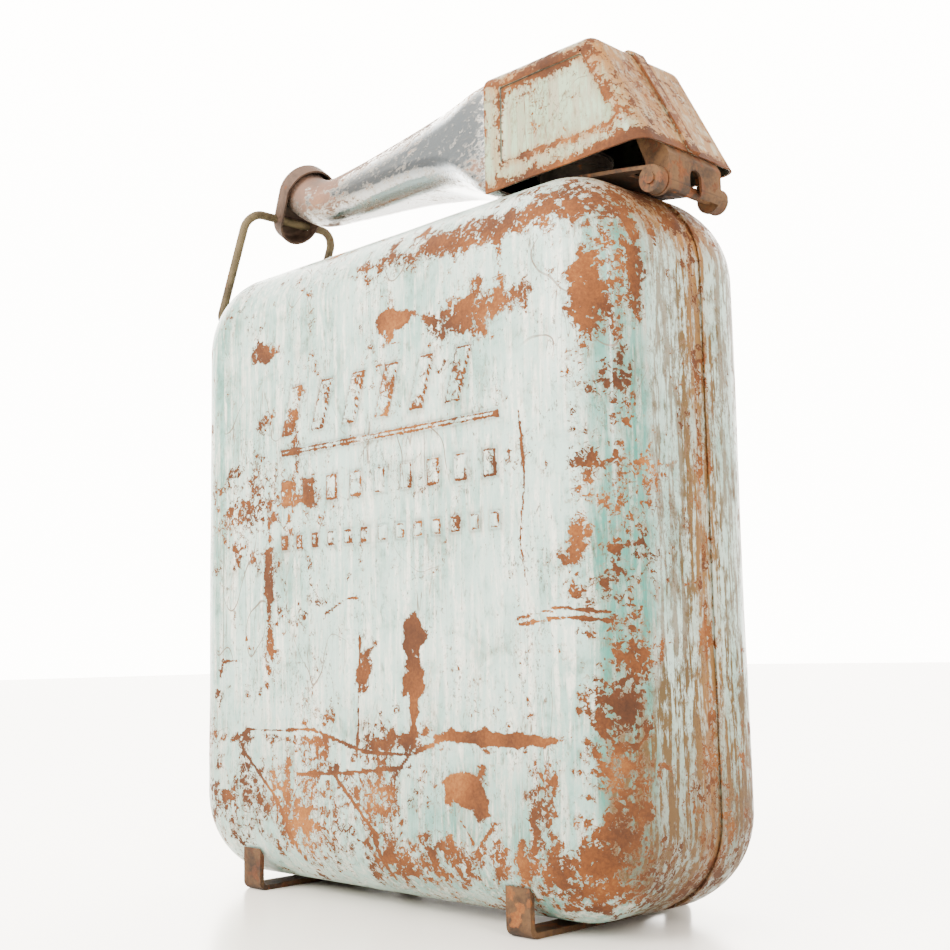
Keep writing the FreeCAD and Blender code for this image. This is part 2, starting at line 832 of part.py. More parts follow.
def stopper_spring():
    """The coil spring between the stopper's plate and the guide."""
    body = new_body("stopper_spring", along="neck_along")
    sketch = new_sketch(body, "XZ_Plane")
    low = "body_top + neck_height + washer_thick + plate_thick"
    draw_circle(sketch, "spring_radius", f"{low} + spring_wire", "spring_wire")
    doc.recompute()
    coil = body.newObject("PartDesign::AdditiveHelix", "stopper_spring_coil")
    coil.Profile = sketch
    coil.ReferenceAxis = (sketch, ["V_Axis"])
    coil.Mode = "height-turns-angle"
    height = f"guide_floor - ({low}) - 2 * spring_wire"
    bind(coil, Height=cells(height), Turns=cells("spring_turns"))
    doc.recompute()
    return body


def rod(name, start, direction, length, radius):
    """A round bar from a point, along a unit vector; start holds three formulas."""
    bar = doc.addObject("Part::Cylinder", name)
    bar.Placement = Placement(Vector(), Rotation(Vector(0, 0, 1), Vector(*direction)))
    bind(
        bar,
        Radius=cells(radius),
        Height=cells(length),
        Placement__Base__x=cells(start[0]),
        Placement__Base__y=cells(start[1]),
        Placement__Base__z=cells(start[2]),
    )
    return bar


def quarter_bend(name, centre, bend, radius, first):
    """A quarter of a torus in the YZ plane; first is the angle where it starts."""
    ring = doc.addObject("Part::Torus", name)
    ring.Angle3 = 90
    flat = Rotation(Vector(0, 1, 0), Vector(0, 0, 1), Vector(1, 0, 0))
    ring.Placement = Placement(Vector(), flat.multiply(Rotation(Vector(0, 0, 1), first)))
    bind(
        ring,
        Radius1=cells(bend),
        Radius2=cells(radius),
        Placement__Base__y=cells(centre[0]),
        Placement__Base__z=cells(centre[1]),
    )
    return ring


def bail_wire():
    """The wire bail: two turned-in tails, two legs and a top run, all in one leaning plane."""
    pieces = []
    low, top = "bail_low_bend", "bail_top_bend"
    for side, word in ((-1, "front"), (1, "rear")):
        tail_start = ("0", f"{side} * bail_tail", "0")
        tail = f"bail_half - {low} - bail_tail"
        pieces.append(rod(f"bail_tail_{word}", tail_start, (0, side, 0), tail, "bail_wire"))
        leg_start = ("0", f"{side} * bail_half", low)
        leg = f"bail_reach - {low} - {top}"
        pieces.append(rod(f"bail_leg_{word}", leg_start, (0, 0, 1), leg, "bail_wire"))
        low_centre = (f"{side} * (bail_half - {low})", low)
        low_first = 270 if side > 0 else 180
        pieces.append(quarter_bend(f"bail_low_{word}", low_centre, low, "bail_wire", low_first))
        top_centre = (f"{side} * (bail_half - {top})", f"bail_reach - {top}")
        top_first = 0 if side > 0 else 90
        pieces.append(quarter_bend(f"bail_top_{word}", top_centre, top, "bail_wire", top_first))
    run_start = ("0", f"{top} - bail_half", "bail_reach")
    run = f"2 * (bail_half - {top})"
    pieces.append(rod("bail_run", run_start, (0, 1, 0), run, "bail_wire"))
    wire = doc.addObject("Part::MultiFuse", "bail_wire")
    wire.Shapes = pieces
    wire.Placement = Placement(Vector(), Rotation(Vector(0, 1, 0), 1))
    bind(
        wire,
        Placement__Base__x="Sizes.bail_along",
        Placement__Base__z="Sizes.bail_level",
        Placement__Rotation__Angle="Sizes.bail_lean",
    )
    return wire


def bail_bracket():
    """The strap on the end wall, rolled into a tube round the bail's tails."""
    body = new_body("bail_bracket")
    wall = "-(body_width / 2 + bracket_gap)"
    face = "-(body_width / 2 + bracket_gap + bracket_sheet)"
    tube = "(bail_wire + bail_fit + bracket_sheet)"
    strap = new_sketch(body, "XZ_Plane")
    draw_polygon(
        strap,
        [
            (wall, "bracket_bottom"),
            (wall, "bracket_bend"),
            (f"bail_along + {tube}", "bail_level"),
            (f"bail_along + {tube} - bracket_sheet", "bail_level"),
            (face, "bracket_bend"),
            (face, "bracket_bottom"),
        ],
    )
    extrude(body, "Pad", strap, "2 * bracket_half", both=True)
    roll = new_sketch(body, "XZ_Plane")
    draw_circle(roll, "bail_along", "bail_level", tube)
    extrude(body, "Pad", roll, "2 * bracket_half", both=True)
    bore = new_sketch(body, "XZ_Plane")
    draw_circle(bore, "bail_along", "bail_level", "bail_wire + bail_fit")
    extrude(body, "Pocket", bore, "2 * bracket_half + overrun", both=True)
    return body


def cap_frame(label):
    """A body in the cap's own frame, with its origin on the bail's top run."""
    along = "bail_along + bail_reach * sin(bail_lean * 1 deg)"
    up = "bail_level + bail_reach * cos(bail_lean * 1 deg)"
    return new_body(label, along=along, up=up, turn="cap_turn")


def cap_cup():
    """The oval pressed cap: a big round end over the nozzle and a small one round the bail wire."""
    body = cap_frame("cap_cup")
    depth = "cap_mouth + cap_back"
    for lobe in ("big", "small"):
        sketch = new_sketch(body, "XY_Plane", "-cap_back")
        draw_circle(sketch, f"cap_{lobe}_along", "0", f"cap_{lobe}_radius")
        extrude(body, "Pad", sketch, depth)
    waist = new_sketch(body, "XY_Plane", "-cap_back")
    taper = "(cap_big_radius - cap_small_radius) / (cap_small_along - cap_big_along)"
    corners = []
    for lobe, side in (("big", -1), ("small", -1), ("small", 1), ("big", 1)):
        shift = f"cap_{lobe}_along + cap_{lobe}_radius * {taper}"
        reach = f"{side} * cap_{lobe}_radius * sqrt(1 - ({taper}) ^ 2)"
        corners.append((shift, reach))
    draw_polygon(waist, corners)
    extrude(body, "Pad", waist, depth)
    round_edges(body, flat_at(2, -size("cap_back")), "cap_round")
    hollow(body, 2, size("cap_mouth"), "cap_sheet")
    bore = new_sketch(body, "XZ_Plane")
    draw_circle(bore, "0", "0", "bail_wire + bail_fit")
    extrude(body, "Pocket", bore, "4 * cap_big_radius", both=True)
    return body


def cap_washer():
    """The soft disc in the cap's big end, which the nozzle's rim meets."""
    body = cap_frame("cap_washer")
    sketch = new_sketch(body, "XY_Plane", "cap_sheet - cap_back")
    draw_circle(sketch, "cap_big_along", "0", "cap_pad_radius")
    extrude(body, "Pad", sketch, "cap_pad_thick")
    return body


def build():
    """Make every sub-part and return them in a list."""
    fill_sheet()
    return [
        front_shell(),
        rear_shell(),
        filler_neck(),
        foot("left_foot", -1),
        foot("right_foot", 1),
        hinge_leaf(),
        hinge_pin(),
        bail_bracket(),
        hood_half("hood_front_half", -1),
        hood_half("hood_rear_half", 1),
        spout_tube(),
        hinge_channel(),
        stopper_guide(),
        *stopper_pieces(),
        stopper_stem(),
        stopper_spring(),
        bail_wire(),
        cap_cup(),
        cap_washer(),
    ]


def check(parts):
    """Stop if any object failed to build, or any sub-part has no sound solid."""
    doc.recompute()
    for thing in doc.Objects:
        if "Invalid" in thing.State or "Error" in thing.State:
            raise RuntimeError(f"{thing.Label} did not build: {thing.State}")
    for part in parts:
        shape = part.Shape
        if shape.isNull() or not shape.isValid() or not shape.Solids:
            raise RuntimeError(f"{part.Label} has no sound solid")


def write(parts):
    """Write each sub-part to a STEP file named after it."""
    os.makedirs("parts", exist_ok=True)
    for part in parts:
        part.Shape.exportStep(f"parts/{part.Label}.step")
        print(f"{part.Label}: {len(part.Shape.Solids)} solid, {part.Shape.Volume:.1f} mm3")


sub_parts = build()
check(sub_parts)
write(sub_parts)
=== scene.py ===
import math

import bmesh
import bpy
import numpy as np
from mathutils import Matrix, Vector, noise
from mathutils.kdtree import KDTree


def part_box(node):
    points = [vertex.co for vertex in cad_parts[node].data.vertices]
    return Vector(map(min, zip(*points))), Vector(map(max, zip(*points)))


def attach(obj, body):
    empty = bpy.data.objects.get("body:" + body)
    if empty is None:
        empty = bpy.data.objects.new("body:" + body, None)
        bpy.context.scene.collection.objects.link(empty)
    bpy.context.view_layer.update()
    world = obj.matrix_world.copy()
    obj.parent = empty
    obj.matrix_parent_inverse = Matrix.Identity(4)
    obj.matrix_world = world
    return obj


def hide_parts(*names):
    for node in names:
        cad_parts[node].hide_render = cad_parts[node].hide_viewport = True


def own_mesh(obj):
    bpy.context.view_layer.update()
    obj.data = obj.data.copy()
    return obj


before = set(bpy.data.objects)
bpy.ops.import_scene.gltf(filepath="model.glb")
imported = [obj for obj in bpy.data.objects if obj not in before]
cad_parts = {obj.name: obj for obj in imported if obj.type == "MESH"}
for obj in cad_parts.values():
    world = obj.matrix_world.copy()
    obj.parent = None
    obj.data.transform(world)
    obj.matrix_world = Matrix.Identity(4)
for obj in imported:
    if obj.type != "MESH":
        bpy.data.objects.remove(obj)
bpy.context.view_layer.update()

# Everything is in metres, in the CAD model's frame: X along the can's width with the hinge at +X, the
# decorated front towards -Y, Z up from the ground.

MM = 0.001

# ---------------------------------------------------------------- sizes read from the frame

REAR_LOW, REAR_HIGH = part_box("rear_shell")
FRONT_LOW, FRONT_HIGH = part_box("front_shell")
HALF_WIDTH = REAR_HIGH.x
HALF_DEPTH = REAR_HIGH.y
BOTTOM, TOP = REAR_LOW.z, REAR_HIGH.z
MIDDLE = (BOTTOM + TOP) / 2
HALF_HEIGHT = (TOP - BOTTOM) / 2
RELIEF = -FRONT_LOW.y - HALF_DEPTH
SEAM_REAR = REAR_LOW.y
LIP_END = FRONT_HIGH.y
NECK_LOW, NECK_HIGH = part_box("filler_neck")
NECK_X = (NECK_LOW.x + NECK_HIGH.x) / 2
HOOD_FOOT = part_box("hood_front_half")[0].z

# ---------------------------------------------------------------- sizes of the pressed sheet

SHEET = 0.9 * MM
OUTLINE_RADIUS = 33.7 * MM
EDGE_RADIUS = 26.4 * MM
JOGGLE = 0.95 * MM


def smooth(value):
    """The smoothstep of a number or an array, held between 0 and 1."""
    held = np.clip(value, 0.0, 1.0)
    return held * held * (3.0 - 2.0 * held)


def rise(value, start, length):
    """0 below the start, 1 beyond the length after it."""
    return smooth((value - start) / length)


def fall(value, end, length):
    """0 above the end, 1 beyond the length below it."""
    return smooth((end - value) / length)


def wobble(points, scale, seed):
    """Perlin noise at each point, about -1 to 1, with its features 1 / scale metres across."""
    shift = Vector((seed * 3.7, seed * 1.3, seed * 5.1))
    return np.array([noise.noise(Vector(p) * scale + shift) for p in points])


# ---------------------------------------------------------------- camera and stage

CAMERA_PLACE = Vector((0.38749, -0.37365, 0.09227))
CAMERA_YAW, CAMERA_PITCH, CAMERA_ROLL = (math.radians(a) for a in (44.98, 7.41, -1.08))
CAMERA_LENS = 51.6
SENSOR_WIDTH = 36.0

# Area lights, aimed at one point on the can: place, width and height, power in watts, colour.
LIT_POINT = (0, 0, 0.14)
LIGHTS = {
    "key": ((-0.25, -1.10, 0.80), (0.8, 0.8), 51.0, (1.0, 0.96, 0.89)),
    "side": ((1.1, 0.75, 0.45), (0.4, 0.9), 8.0, (1.0, 0.95, 0.87)),
    "strip": ((0.95, -0.36, 0.55), (0.06, 0.7), 12.0, (1.0, 0.96, 0.90)),
    "top": ((0.15, 0.0, 1.1), (0.7, 0.7), 4.0, (1.0, 0.95, 0.87)),
}

# The studio glows towards one side and overhead. Each glow is set against a direction's cosine: where it
# starts to rise, where it is full, and its strength at each.
STUDIO_COLOUR = (1.0, 0.955, 0.885)
BRIGHT_SIDE = (-0.70, 0.70, 0.10)
SIDE_GLOW = (0.45, 0.88, 0.45, 15.0)
OVERHEAD_GLOW = (0.25, 0.75, 0.0, 2.2)

FLOOR_REACH = 6.0
FLOOR_COLOUR = (0.90, 0.86, 0.80)
FLOOR_ROUGHNESS = 0.22


def make_camera():
    """The camera of the reference view: low, close, looking up at the can's front and right end."""
    forward = Vector(
        (
            -math.sin(CAMERA_YAW) * math.cos(CAMERA_PITCH),
            math.cos(CAMERA_YAW) * math.cos(CAMERA_PITCH),
            math.sin(CAMERA_PITCH),
        )
    )
    level = Vector((math.cos(CAMERA_YAW), math.sin(CAMERA_YAW), 0))
    up = level.cross(forward)
    right = level * math.cos(CAMERA_ROLL) + up * math.sin(CAMERA_ROLL)
    rolled = up * math.cos(CAMERA_ROLL) - level * math.sin(CAMERA_ROLL)
    data = bpy.data.cameras.new("camera")
    data.lens = CAMERA_LENS
    data.sensor_width = SENSOR_WIDTH
    camera = bpy.data.objects.new("camera", data)
    turn = Matrix((right, rolled, -forward)).transposed().to_4x4()
    camera.matrix_world = Matrix.Translation(CAMERA_PLACE) @ turn
    bpy.context.scene.collection.objects.link(camera)
    bpy.context.scene.camera = camera


def make_lights():
    """Large soft lights in front, beside and above, aimed at the can."""
    for name, (place, size, power, colour) in LIGHTS.items():
        data = bpy.data.lights.new(name, "AREA")
        data.shape = "RECTANGLE"
        data.size, data.size_y = size
        data.energy = power
        data.color = colour
        lamp = bpy.data.objects.new(name, data)
        lamp.location = place
        aim = Vector(LIT_POINT) - Vector(place)
        lamp.rotation_euler = aim.to_track_quat("-Z", "Y").to_euler()
        bpy.context.scene.collection.objects.link(lamp)


def make_world():
    """The studio around the can: pale everywhere, bright behind it and overhead."""
    world = bpy.data.worlds.new("studio")
    world.use_nodes = True
    tree = world.node_tree
    back = tree.nodes["Background"]
    back.inputs["Color"].default_value = (*STUDIO_COLOUR, 1)
    place = tree.nodes.new("ShaderNodeTexCoord").outputs["Generated"]
    facing = tree.nodes.new("ShaderNodeVectorMath")
    facing.operation = "DOT_PRODUCT"
    tree.links.new(place, facing.inputs[0])
    facing.inputs[1].default_value = BRIGHT_SIDE
    height = tree.nodes.new("ShaderNodeSeparateXYZ")
    tree.links.new(place, height.inputs[0])
    total = tree.nodes.new("ShaderNodeMath")
    total.operation = "ADD"
    tree.links.new(total.outputs[0], back.inputs["Strength"])
    glows = ((facing.outputs["Value"], SIDE_GLOW), (height.outputs["Z"], OVERHEAD_GLOW))
    for slot, (value, glow) in enumerate(glows):
        level = tree.nodes.new("ShaderNodeMapRange")
        level.interpolation_type = "SMOOTHSTEP"
        tree.links.new(value, level.inputs["Value"])
        for key, number in zip(("From Min", "From Max", "To Min", "To Max"), glow):
            level.inputs[key].default_value = number
        tree.links.new(level.outputs["Result"], total.inputs[slot])
    bpy.context.scene.world = world


def make_floor():
    """A plain pale floor, level with the underside of the feet."""
    data = bpy.data.meshes.new("floor")
    corners = [(x * FLOOR_REACH, y * FLOOR_REACH, 0) for x, y in ((-1, -1), (1, -1), (1, 1), (-1, 1))]
    data.from_pydata(corners, [], [(0, 1, 2, 3)])
    floor = bpy.data.objects.new("floor", data)
    bpy.context.scene.collection.objects.link(floor)
    paint = bpy.data.materials.new("floor_paint")
    paint.use_nodes = True
    shader = paint.node_tree.nodes["Principled BSDF"]
    shader.inputs["Base Color"].default_value = (*FLOOR_COLOUR, 1)
    shader.inputs["Roughness"].default_value = FLOOR_ROUGHNESS
    data.materials.append(paint)


# ---------------------------------------------------------------- material graphs


class Graph:
    """A material's nodes, with short calls for the ones used again and again."""

    def __init__(self, name):
        """Start a material; its textures are placed by object coordinates, so scales are per metre."""
        self.material = bpy.data.materials.new(name)
        self.material.use_nodes = True
        self.tree = self.material.node_tree
        self.shader = self.tree.nodes["Principled BSDF"]
        self.place = self.node("ShaderNodeTexCoord").outputs["Object"]

    def node(self, kind, **settings):
        """A new node with some of its settings made."""
        made = self.tree.nodes.new(kind)
        for key, value in settings.items():
            setattr(made, key, value)
        return made

    def put(self, socket, value):
        """Set a socket, or link it when the value is another node's output."""
        if isinstance(value, bpy.types.NodeSocket):
            self.tree.links.new(value, socket)
        elif isinstance(value, tuple) and len(value) == 3 and socket.type == "RGBA":
            socket.default_value = (*value, 1.0)
        else:
            socket.default_value = value

    def maths(self, kind, a, b=0.0, clamp=False):
        """One step of arithmetic on two values."""
        made = self.node("ShaderNodeMath", operation=kind, use_clamp=clamp)
        self.put(made.inputs[0], a)
        self.put(made.inputs[1], b)
        return made.outputs[0]

    def total(self, *parts):
        """The sum of several values, each times its share."""
        summed = self.maths("MULTIPLY", *parts[0])
        for value, share in parts[1:]:
            summed = self.maths("ADD", summed, self.maths("MULTIPLY", value, share))
        return summed

    def stretch(self, scale, turn=(0.0, 0.0, 0.0)):
        """Object coordinates turned, then scaled unevenly, for streaks and scratches."""
        made = self.node("ShaderNodeMapping", vector_type="POINT")
        self.put(made.inputs["Vector"], self.place)
        made.inputs["Rotation"].default_value = turn
        made.inputs["Scale"].default_value = scale
        return made.outputs[0]

    def noise(self, scale, detail=4.0, rough=0.55, place=None, warp=0.0):
        """Cloudy noise about 0.5, with its features 1 / scale metres across."""
        made = self.node("ShaderNodeTexNoise")
        self.put(made.inputs["Vector"], place or self.place)
        made.inputs["Scale"].default_value = scale
        made.inputs["Detail"].default_value = detail
        made.inputs["Roughness"].default_value = rough
        made.inputs["Distortion"].default_value = warp
        return made.outputs["Fac"]

    def cells(self, scale, place=None):
        """Cells 1 / scale metres across: the distance from the cell's middle, and its random level."""
        made = self.node("ShaderNodeTexVoronoi", feature="F1")
        self.put(made.inputs["Vector"], place or self.place)
        made.inputs["Scale"].default_value = scale
        level = self.node("ShaderNodeSeparateColor")
        self.put(level.inputs["Color"], made.outputs["Color"])
        return made.outputs["Distance"], level.outputs["Red"]

    def step(self, value, low, high, to_low=0.0, to_high=1.0):
        """A smooth step between two levels; low may be above high."""
        made = self.node("ShaderNodeMapRange", interpolation_type="SMOOTHSTEP")
        self.put(made.inputs["Value"], value)
        for key, number in (("From Min", low), ("From Max", high), ("To Min", to_low), ("To Max", to_high)):
            self.put(made.inputs[key], number)
        return made.outputs["Result"]

    def mix(self, amount, a, b):
        """A colour between two others."""
        made = self.node("ShaderNodeMix", data_type="RGBA", clamp_factor=True)
        self.put(made.inputs["Factor"], amount)
        self.put(made.inputs["A"], a)
        self.put(made.inputs["B"], b)
        return made.outputs["Result"]

    def ramp(self, value, stops):
        """A colour that follows a value through several stops."""
        made = self.node("ShaderNodeValToRGB")
        self.put(made.inputs["Fac"], value)
        band = made.color_ramp
        while len(band.elements) < len(stops):
            band.elements.new(0.5)
        for element, (spot, colour) in zip(band.elements, stops):
            element.position = spot
            element.color = (*colour, 1.0)
        return made.outputs["Color"]

    def attribute(self, name):
        """A number kept on the mesh's points; 0 where the mesh has none of that name."""
        made = self.node("ShaderNodeAttribute", attribute_name=name)
        return made.outputs["Fac"]

    def bump(self, height, strength, distance, onto=None):
        """A normal tilted by a height field."""
        made = self.node("ShaderNodeBump")
        self.put(made.inputs["Height"], height)
        made.inputs["Strength"].default_value = strength
        made.inputs["Distance"].default_value = distance
        if onto is not None:
            self.put(made.inputs["Normal"], onto)
        return made.outputs["Normal"]

    def finish(self, colour, roughness, metallic, normal):
        """Link the four results to the shader."""
        self.put(self.shader.inputs["Base Color"], colour)
        self.put(self.shader.inputs["Roughness"], roughness)
        self.put(self.shader.inputs["Metallic"], metallic)
        self.put(self.shader.inputs["Normal"], normal)
        return self.material


RUST_STOPS = [
    (0.28, (0.024, 0.009, 0.004)),
    (0.46, (0.064, 0.020, 0.006)),
    (0.58, (0.125, 0.039, 0.009)),
    (0.76, (0.270, 0.104, 0.026)),
]
STAIN = (0.235, 0.105, 0.028)
FRECKLE = (0.070, 0.034, 0.014)
SCRATCH = (0.12, 0.065, 0.038)
CHIP_RIM = (0.17, 0.10, 0.055)
# Near-black colours of painted shade, mixed in where the "shade" attribute is high.
SHADE_ON_PAINT = (0.016, 0.011, 0.008)
SHADE_ON_METAL = (0.012, 0.009, 0.007)
SHADE_ON_PLATING = (0.014, 0.010, 0.008)

# Paint flakes off in cells of several sizes: cells per metre, and their share in the flaking.
FLAKES = ((210.0, 0.085), (520.0, 0.11), (1300.0, 0.07))
FLAKE_NUDGE = 4.2 * MM
PATCH_SHARE = 0.50
WEAR_SHARE = 0.15
BARE_LEVEL = 0.545

# Fine scratches follow level lines of stretched noise: turn, stretch, half width and level.
SCRATCH_LINES = (
    ((0.0, 0.25, 0.0), (210.0, 210.0, 5.0), 0.0035, 0.50),
    ((0.0, -0.5, 0.0), (170.0, 170.0, 7.0), 0.0030, 0.53),
    ((0.0, 1.45, 0.0), (190.0, 190.0, 9.0), 0.0030, 0.47),
    ((0.0, 0.0, 0.0), (22.0, 22.0, 16.0), 0.0022, 0.50),
)


def rust_colour(graph):
    """Orange-brown rust that varies from patch to patch and from grain to grain."""
    broad = graph.noise(38.0, detail=3.0)
    fine = graph.noise(900.0, detail=3.0, rough=0.7)
    return graph.ramp(graph.total((broad, 0.75), (fine, 0.3)), RUST_STOPS)


def flaking(graph, wear):
    """Above 0 where paint has flaked off: ragged flakes in several sizes, more of them with wear."""
    patch = graph.noise(46.0, detail=6.0, rough=0.66, place=graph.stretch((1.0, 1.0, 0.75)), warp=0.7)
    nudge = graph.node("ShaderNodeTexNoise")
    graph.put(nudge.inputs["Vector"], graph.place)
    nudge.inputs["Scale"].default_value = 420.0
    nudge.inputs["Detail"].default_value = 3.0
    shifted = graph.node("ShaderNodeVectorMath", operation="MULTIPLY_ADD")
    graph.put(shifted.inputs[0], nudge.outputs["Color"])
    shifted.inputs[1].default_value = (FLAKE_NUDGE, FLAKE_NUDGE, FLAKE_NUDGE)
    graph.put(shifted.inputs[2], graph.place)
    flakes = [(graph.cells(scale, shifted.outputs["Vector"])[1], share) for scale, share in FLAKES]
    total = graph.total((patch, PATCH_SHARE), *flakes, (wear, WEAR_SHARE))
    return graph.maths("SUBTRACT", total, BARE_LEVEL)


def faded(graph, look, brushed, blotch, mottle):
    """Paint between its pale and deep shade, rubbed along the brushing, with its whitish rubbed streaks
    partly a painted sheen, and darkened in spots.
    """
    fade = graph.noise(16.0, rough=0.6)
    tone = graph.total((fade, 0.45), (blotch, 0.30), (mottle, 0.25))
    teal = graph.maths("MULTIPLY", graph.step(tone, 0.42, 0.62), 0.6)
    teal = graph.maths("ADD", teal, graph.attribute("teal"), clamp=True)
    paint = graph.mix(teal, look["pale"], look["deep"])
    # Whitish streaks along the brushing: partly rubbed paint, partly a painted sheen.
    rubbed = graph.maths("MULTIPLY", graph.step(brushed, 0.41, 0.66), graph.step(mottle, 0.36, 0.56))
    kept = graph.step(graph.attribute("teal"), 0.2, 0.9, 0.74, 0.30)
    paint = graph.mix(graph.maths("MULTIPLY", rubbed, kept), paint, look["rubbed"])
    dark = graph.step(mottle, 0.53, 0.68)
    return graph.mix(graph.maths("MULTIPLY", dark, 0.42), paint, look["streak_and_shade"])


def freckled(graph, paint, grime_and_shade_level):
    """Small dark specks, in clouds, and more of them where dirt and painted shade are marked."""
    speck = graph.noise(1000.0, detail=5.0, rough=0.75, place=graph.stretch((1.0, 1.0, 0.55)))
    cloud = graph.noise(42.0, detail=5.0, rough=0.7)
    level = graph.step(cloud, 0.40, 0.62, 0.68, 0.56)
    level = graph.maths("SUBTRACT", level, graph.maths("MULTIPLY", grime_and_shade_level, 0.06))
    specks = graph.step(graph.maths("SUBTRACT", speck, level), 0.0, 0.03)
    return graph.mix(graph.maths("MULTIPLY", specks, 0.75), paint, FRECKLE)


def fine_scratches(graph):
    """1 on fine scratches, which come in some places only."""
    marked = None
    for turn, scale, width, level in SCRATCH_LINES:
        field = graph.noise(1.0, detail=1.5, rough=0.5, place=graph.stretch(scale, turn))
        off = graph.maths("ABSOLUTE", graph.maths("SUBTRACT", field, level))
        line = graph.step(off, width, width * 0.4)
        marked = line if marked is None else graph.maths("MAXIMUM", marked, line)
    where = graph.step(graph.noise(21.0, rough=0.6, warp=0.4), 0.47, 0.60)
    return graph.maths("MULTIPLY", marked, where)


def worn_paint(name, look):
    """Old paint: faded and streaked, scratched, speckled, chipped to rust where "wear" is high, and
    darkened by painted shade where "shade" is high.
    """
    graph = Graph(name)
    wear = graph.maths("ADD", graph.attribute("wear"), look["base_wear"])
    grime_and_shade_level = graph.attribute("grime_and_shade")
    brushed = graph.noise(1.0, rough=0.7, place=graph.stretch((360.0, 360.0, 30.0)), warp=0.5)
    blotch = graph.noise(60.0, detail=5.0, rough=0.65, warp=0.6)
    mottle = graph.noise(330.0, detail=6.0, rough=0.75, place=graph.stretch((1.0, 1.0, 0.5)))
    paint = faded(graph, look, brushed, blotch, mottle)

    soiled = graph.total((brushed, 0.6), (mottle, 0.4))
    # Dirt streaks and painted shade: the paint goes towards its dark streak colour where the dirt and shade
    # level is high.
    dirt_and_shade = graph.maths("MULTIPLY", graph.step(soiled, 0.45, 0.54, 0.14, 1.25), grime_and_shade_level)
    dirt_and_shade = graph.maths("ADD", dirt_and_shade, graph.maths("MULTIPLY", graph.step(blotch, 0.52, 0.72), 0.25))
    paint = graph.mix(dirt_and_shade, paint, look["streak_and_shade"])
    haze = graph.maths("MULTIPLY", graph.attribute("haze"), graph.step(soiled, 0.34, 0.56, 0.6, 1.0))
    paint = graph.mix(haze, paint, STAIN)
    paint = freckled(graph, paint, grime_and_shade_level)
    scratch = fine_scratches(graph)
    paint = graph.mix(graph.maths("MULTIPLY", scratch, 0.85), paint, SCRATCH)

    bare = flaking(graph, wear)
    rust = graph.step(bare, 0.0, 0.012)
    rim = graph.step(bare, -0.045, 0.0)
    paint = graph.mix(graph.maths("MULTIPLY", rim, 0.5), paint, CHIP_RIM)
    colour = graph.mix(rust, paint, rust_colour(graph))
    # Painted shade: near-black where the "shade" attribute is high.
    colour = graph.mix(graph.attribute("shade"), colour, SHADE_ON_PAINT)

    rough = graph.maths("ADD", graph.maths("MULTIPLY", dirt_and_shade, 0.25), 0.27)
    rough = graph.maths("ADD", rough, graph.maths("MULTIPLY", brushed, 0.16))
    rough = graph.maths("MAXIMUM", rough, graph.maths("MULTIPLY", graph.maths("MAXIMUM", rust, haze), 0.82))
    gloss = graph.maths("SUBTRACT", 1.0, graph.maths("MAXIMUM", rust, dirt_and_shade))
    gloss = graph.maths("MULTIPLY", gloss, graph.maths("SUBTRACT", 1.0, haze))
    graph.put(graph.shader.inputs["Coat Weight"], graph.maths("MULTIPLY", gloss, 0.22))
    graph.shader.inputs["Coat Roughness"].default_value = 0.12
    graph.shader.inputs["Specular IOR Level"].default_value = 0.22
    return graph.finish(colour, rough, 0.0, paint_relief(graph, brushed, blotch, rust, scratch))


def paint_relief(graph, brushed, blotch, rust, scratch):
    """The paint's own waviness, and its thickness where it has flaked or is scratched."""
    grain = graph.noise(1500.0, detail=3.0, rough=0.7)
    cut = graph.maths("MAXIMUM", rust, graph.maths("MULTIPLY", scratch, 0.6))
    layer = graph.maths("SUBTRACT", 1.0, cut)
    relief = graph.maths("ADD", layer, graph.maths("MULTIPLY", graph.maths("MULTIPLY", grain, rust), 0.9))
    normal = graph.bump(graph.maths("ADD", brushed, blotch), 0.10, 0.3 * MM)
    return graph.bump(relief, 0.55, 0.12 * MM, normal)


def rusty_metal(name, dark, light, spots, rough_low, shine):
    """Bare steel, browned and pitted, with paler rubbed places and fresher orange spots."""
    graph = Graph(name)
    broad = graph.noise(70.0, detail=5.0, rough=0.6, warp=0.5)
    fine = graph.noise(800.0, detail=3.0, rough=0.7)
    both = graph.total((broad, 0.7), (fine, 0.3))
    colour = graph.mix(graph.step(both, 0.35, 0.66), dark, light)
    orange = graph.step(graph.noise(160.0, detail=5.0, rough=0.65), 0.62 - spots, 0.68 - spots)
    colour = graph.mix(orange, colour, rust_colour(graph))
    rubbed = graph.maths("MULTIPLY", graph.attribute("wear"), graph.step(both, 0.42, 0.60))
    colour = graph.mix(graph.maths("MULTIPLY", rubbed, 0.6), colour, light)
    # Painted shade: near-black where the "shade" attribute is high.
    colour = graph.mix(graph.attribute("shade"), colour, SHADE_ON_METAL)
    rough = graph.step(both, 0.3, 0.7, rough_low, 0.9)
    metal = graph.maths("MULTIPLY", graph.maths("SUBTRACT", 1.0, orange), shine)
    normal = graph.bump(both, 0.5, 0.25 * MM)
    graph.shader.inputs["Specular IOR Level"].default_value = 0.25
    return graph.finish(colour, rough, metal, normal)


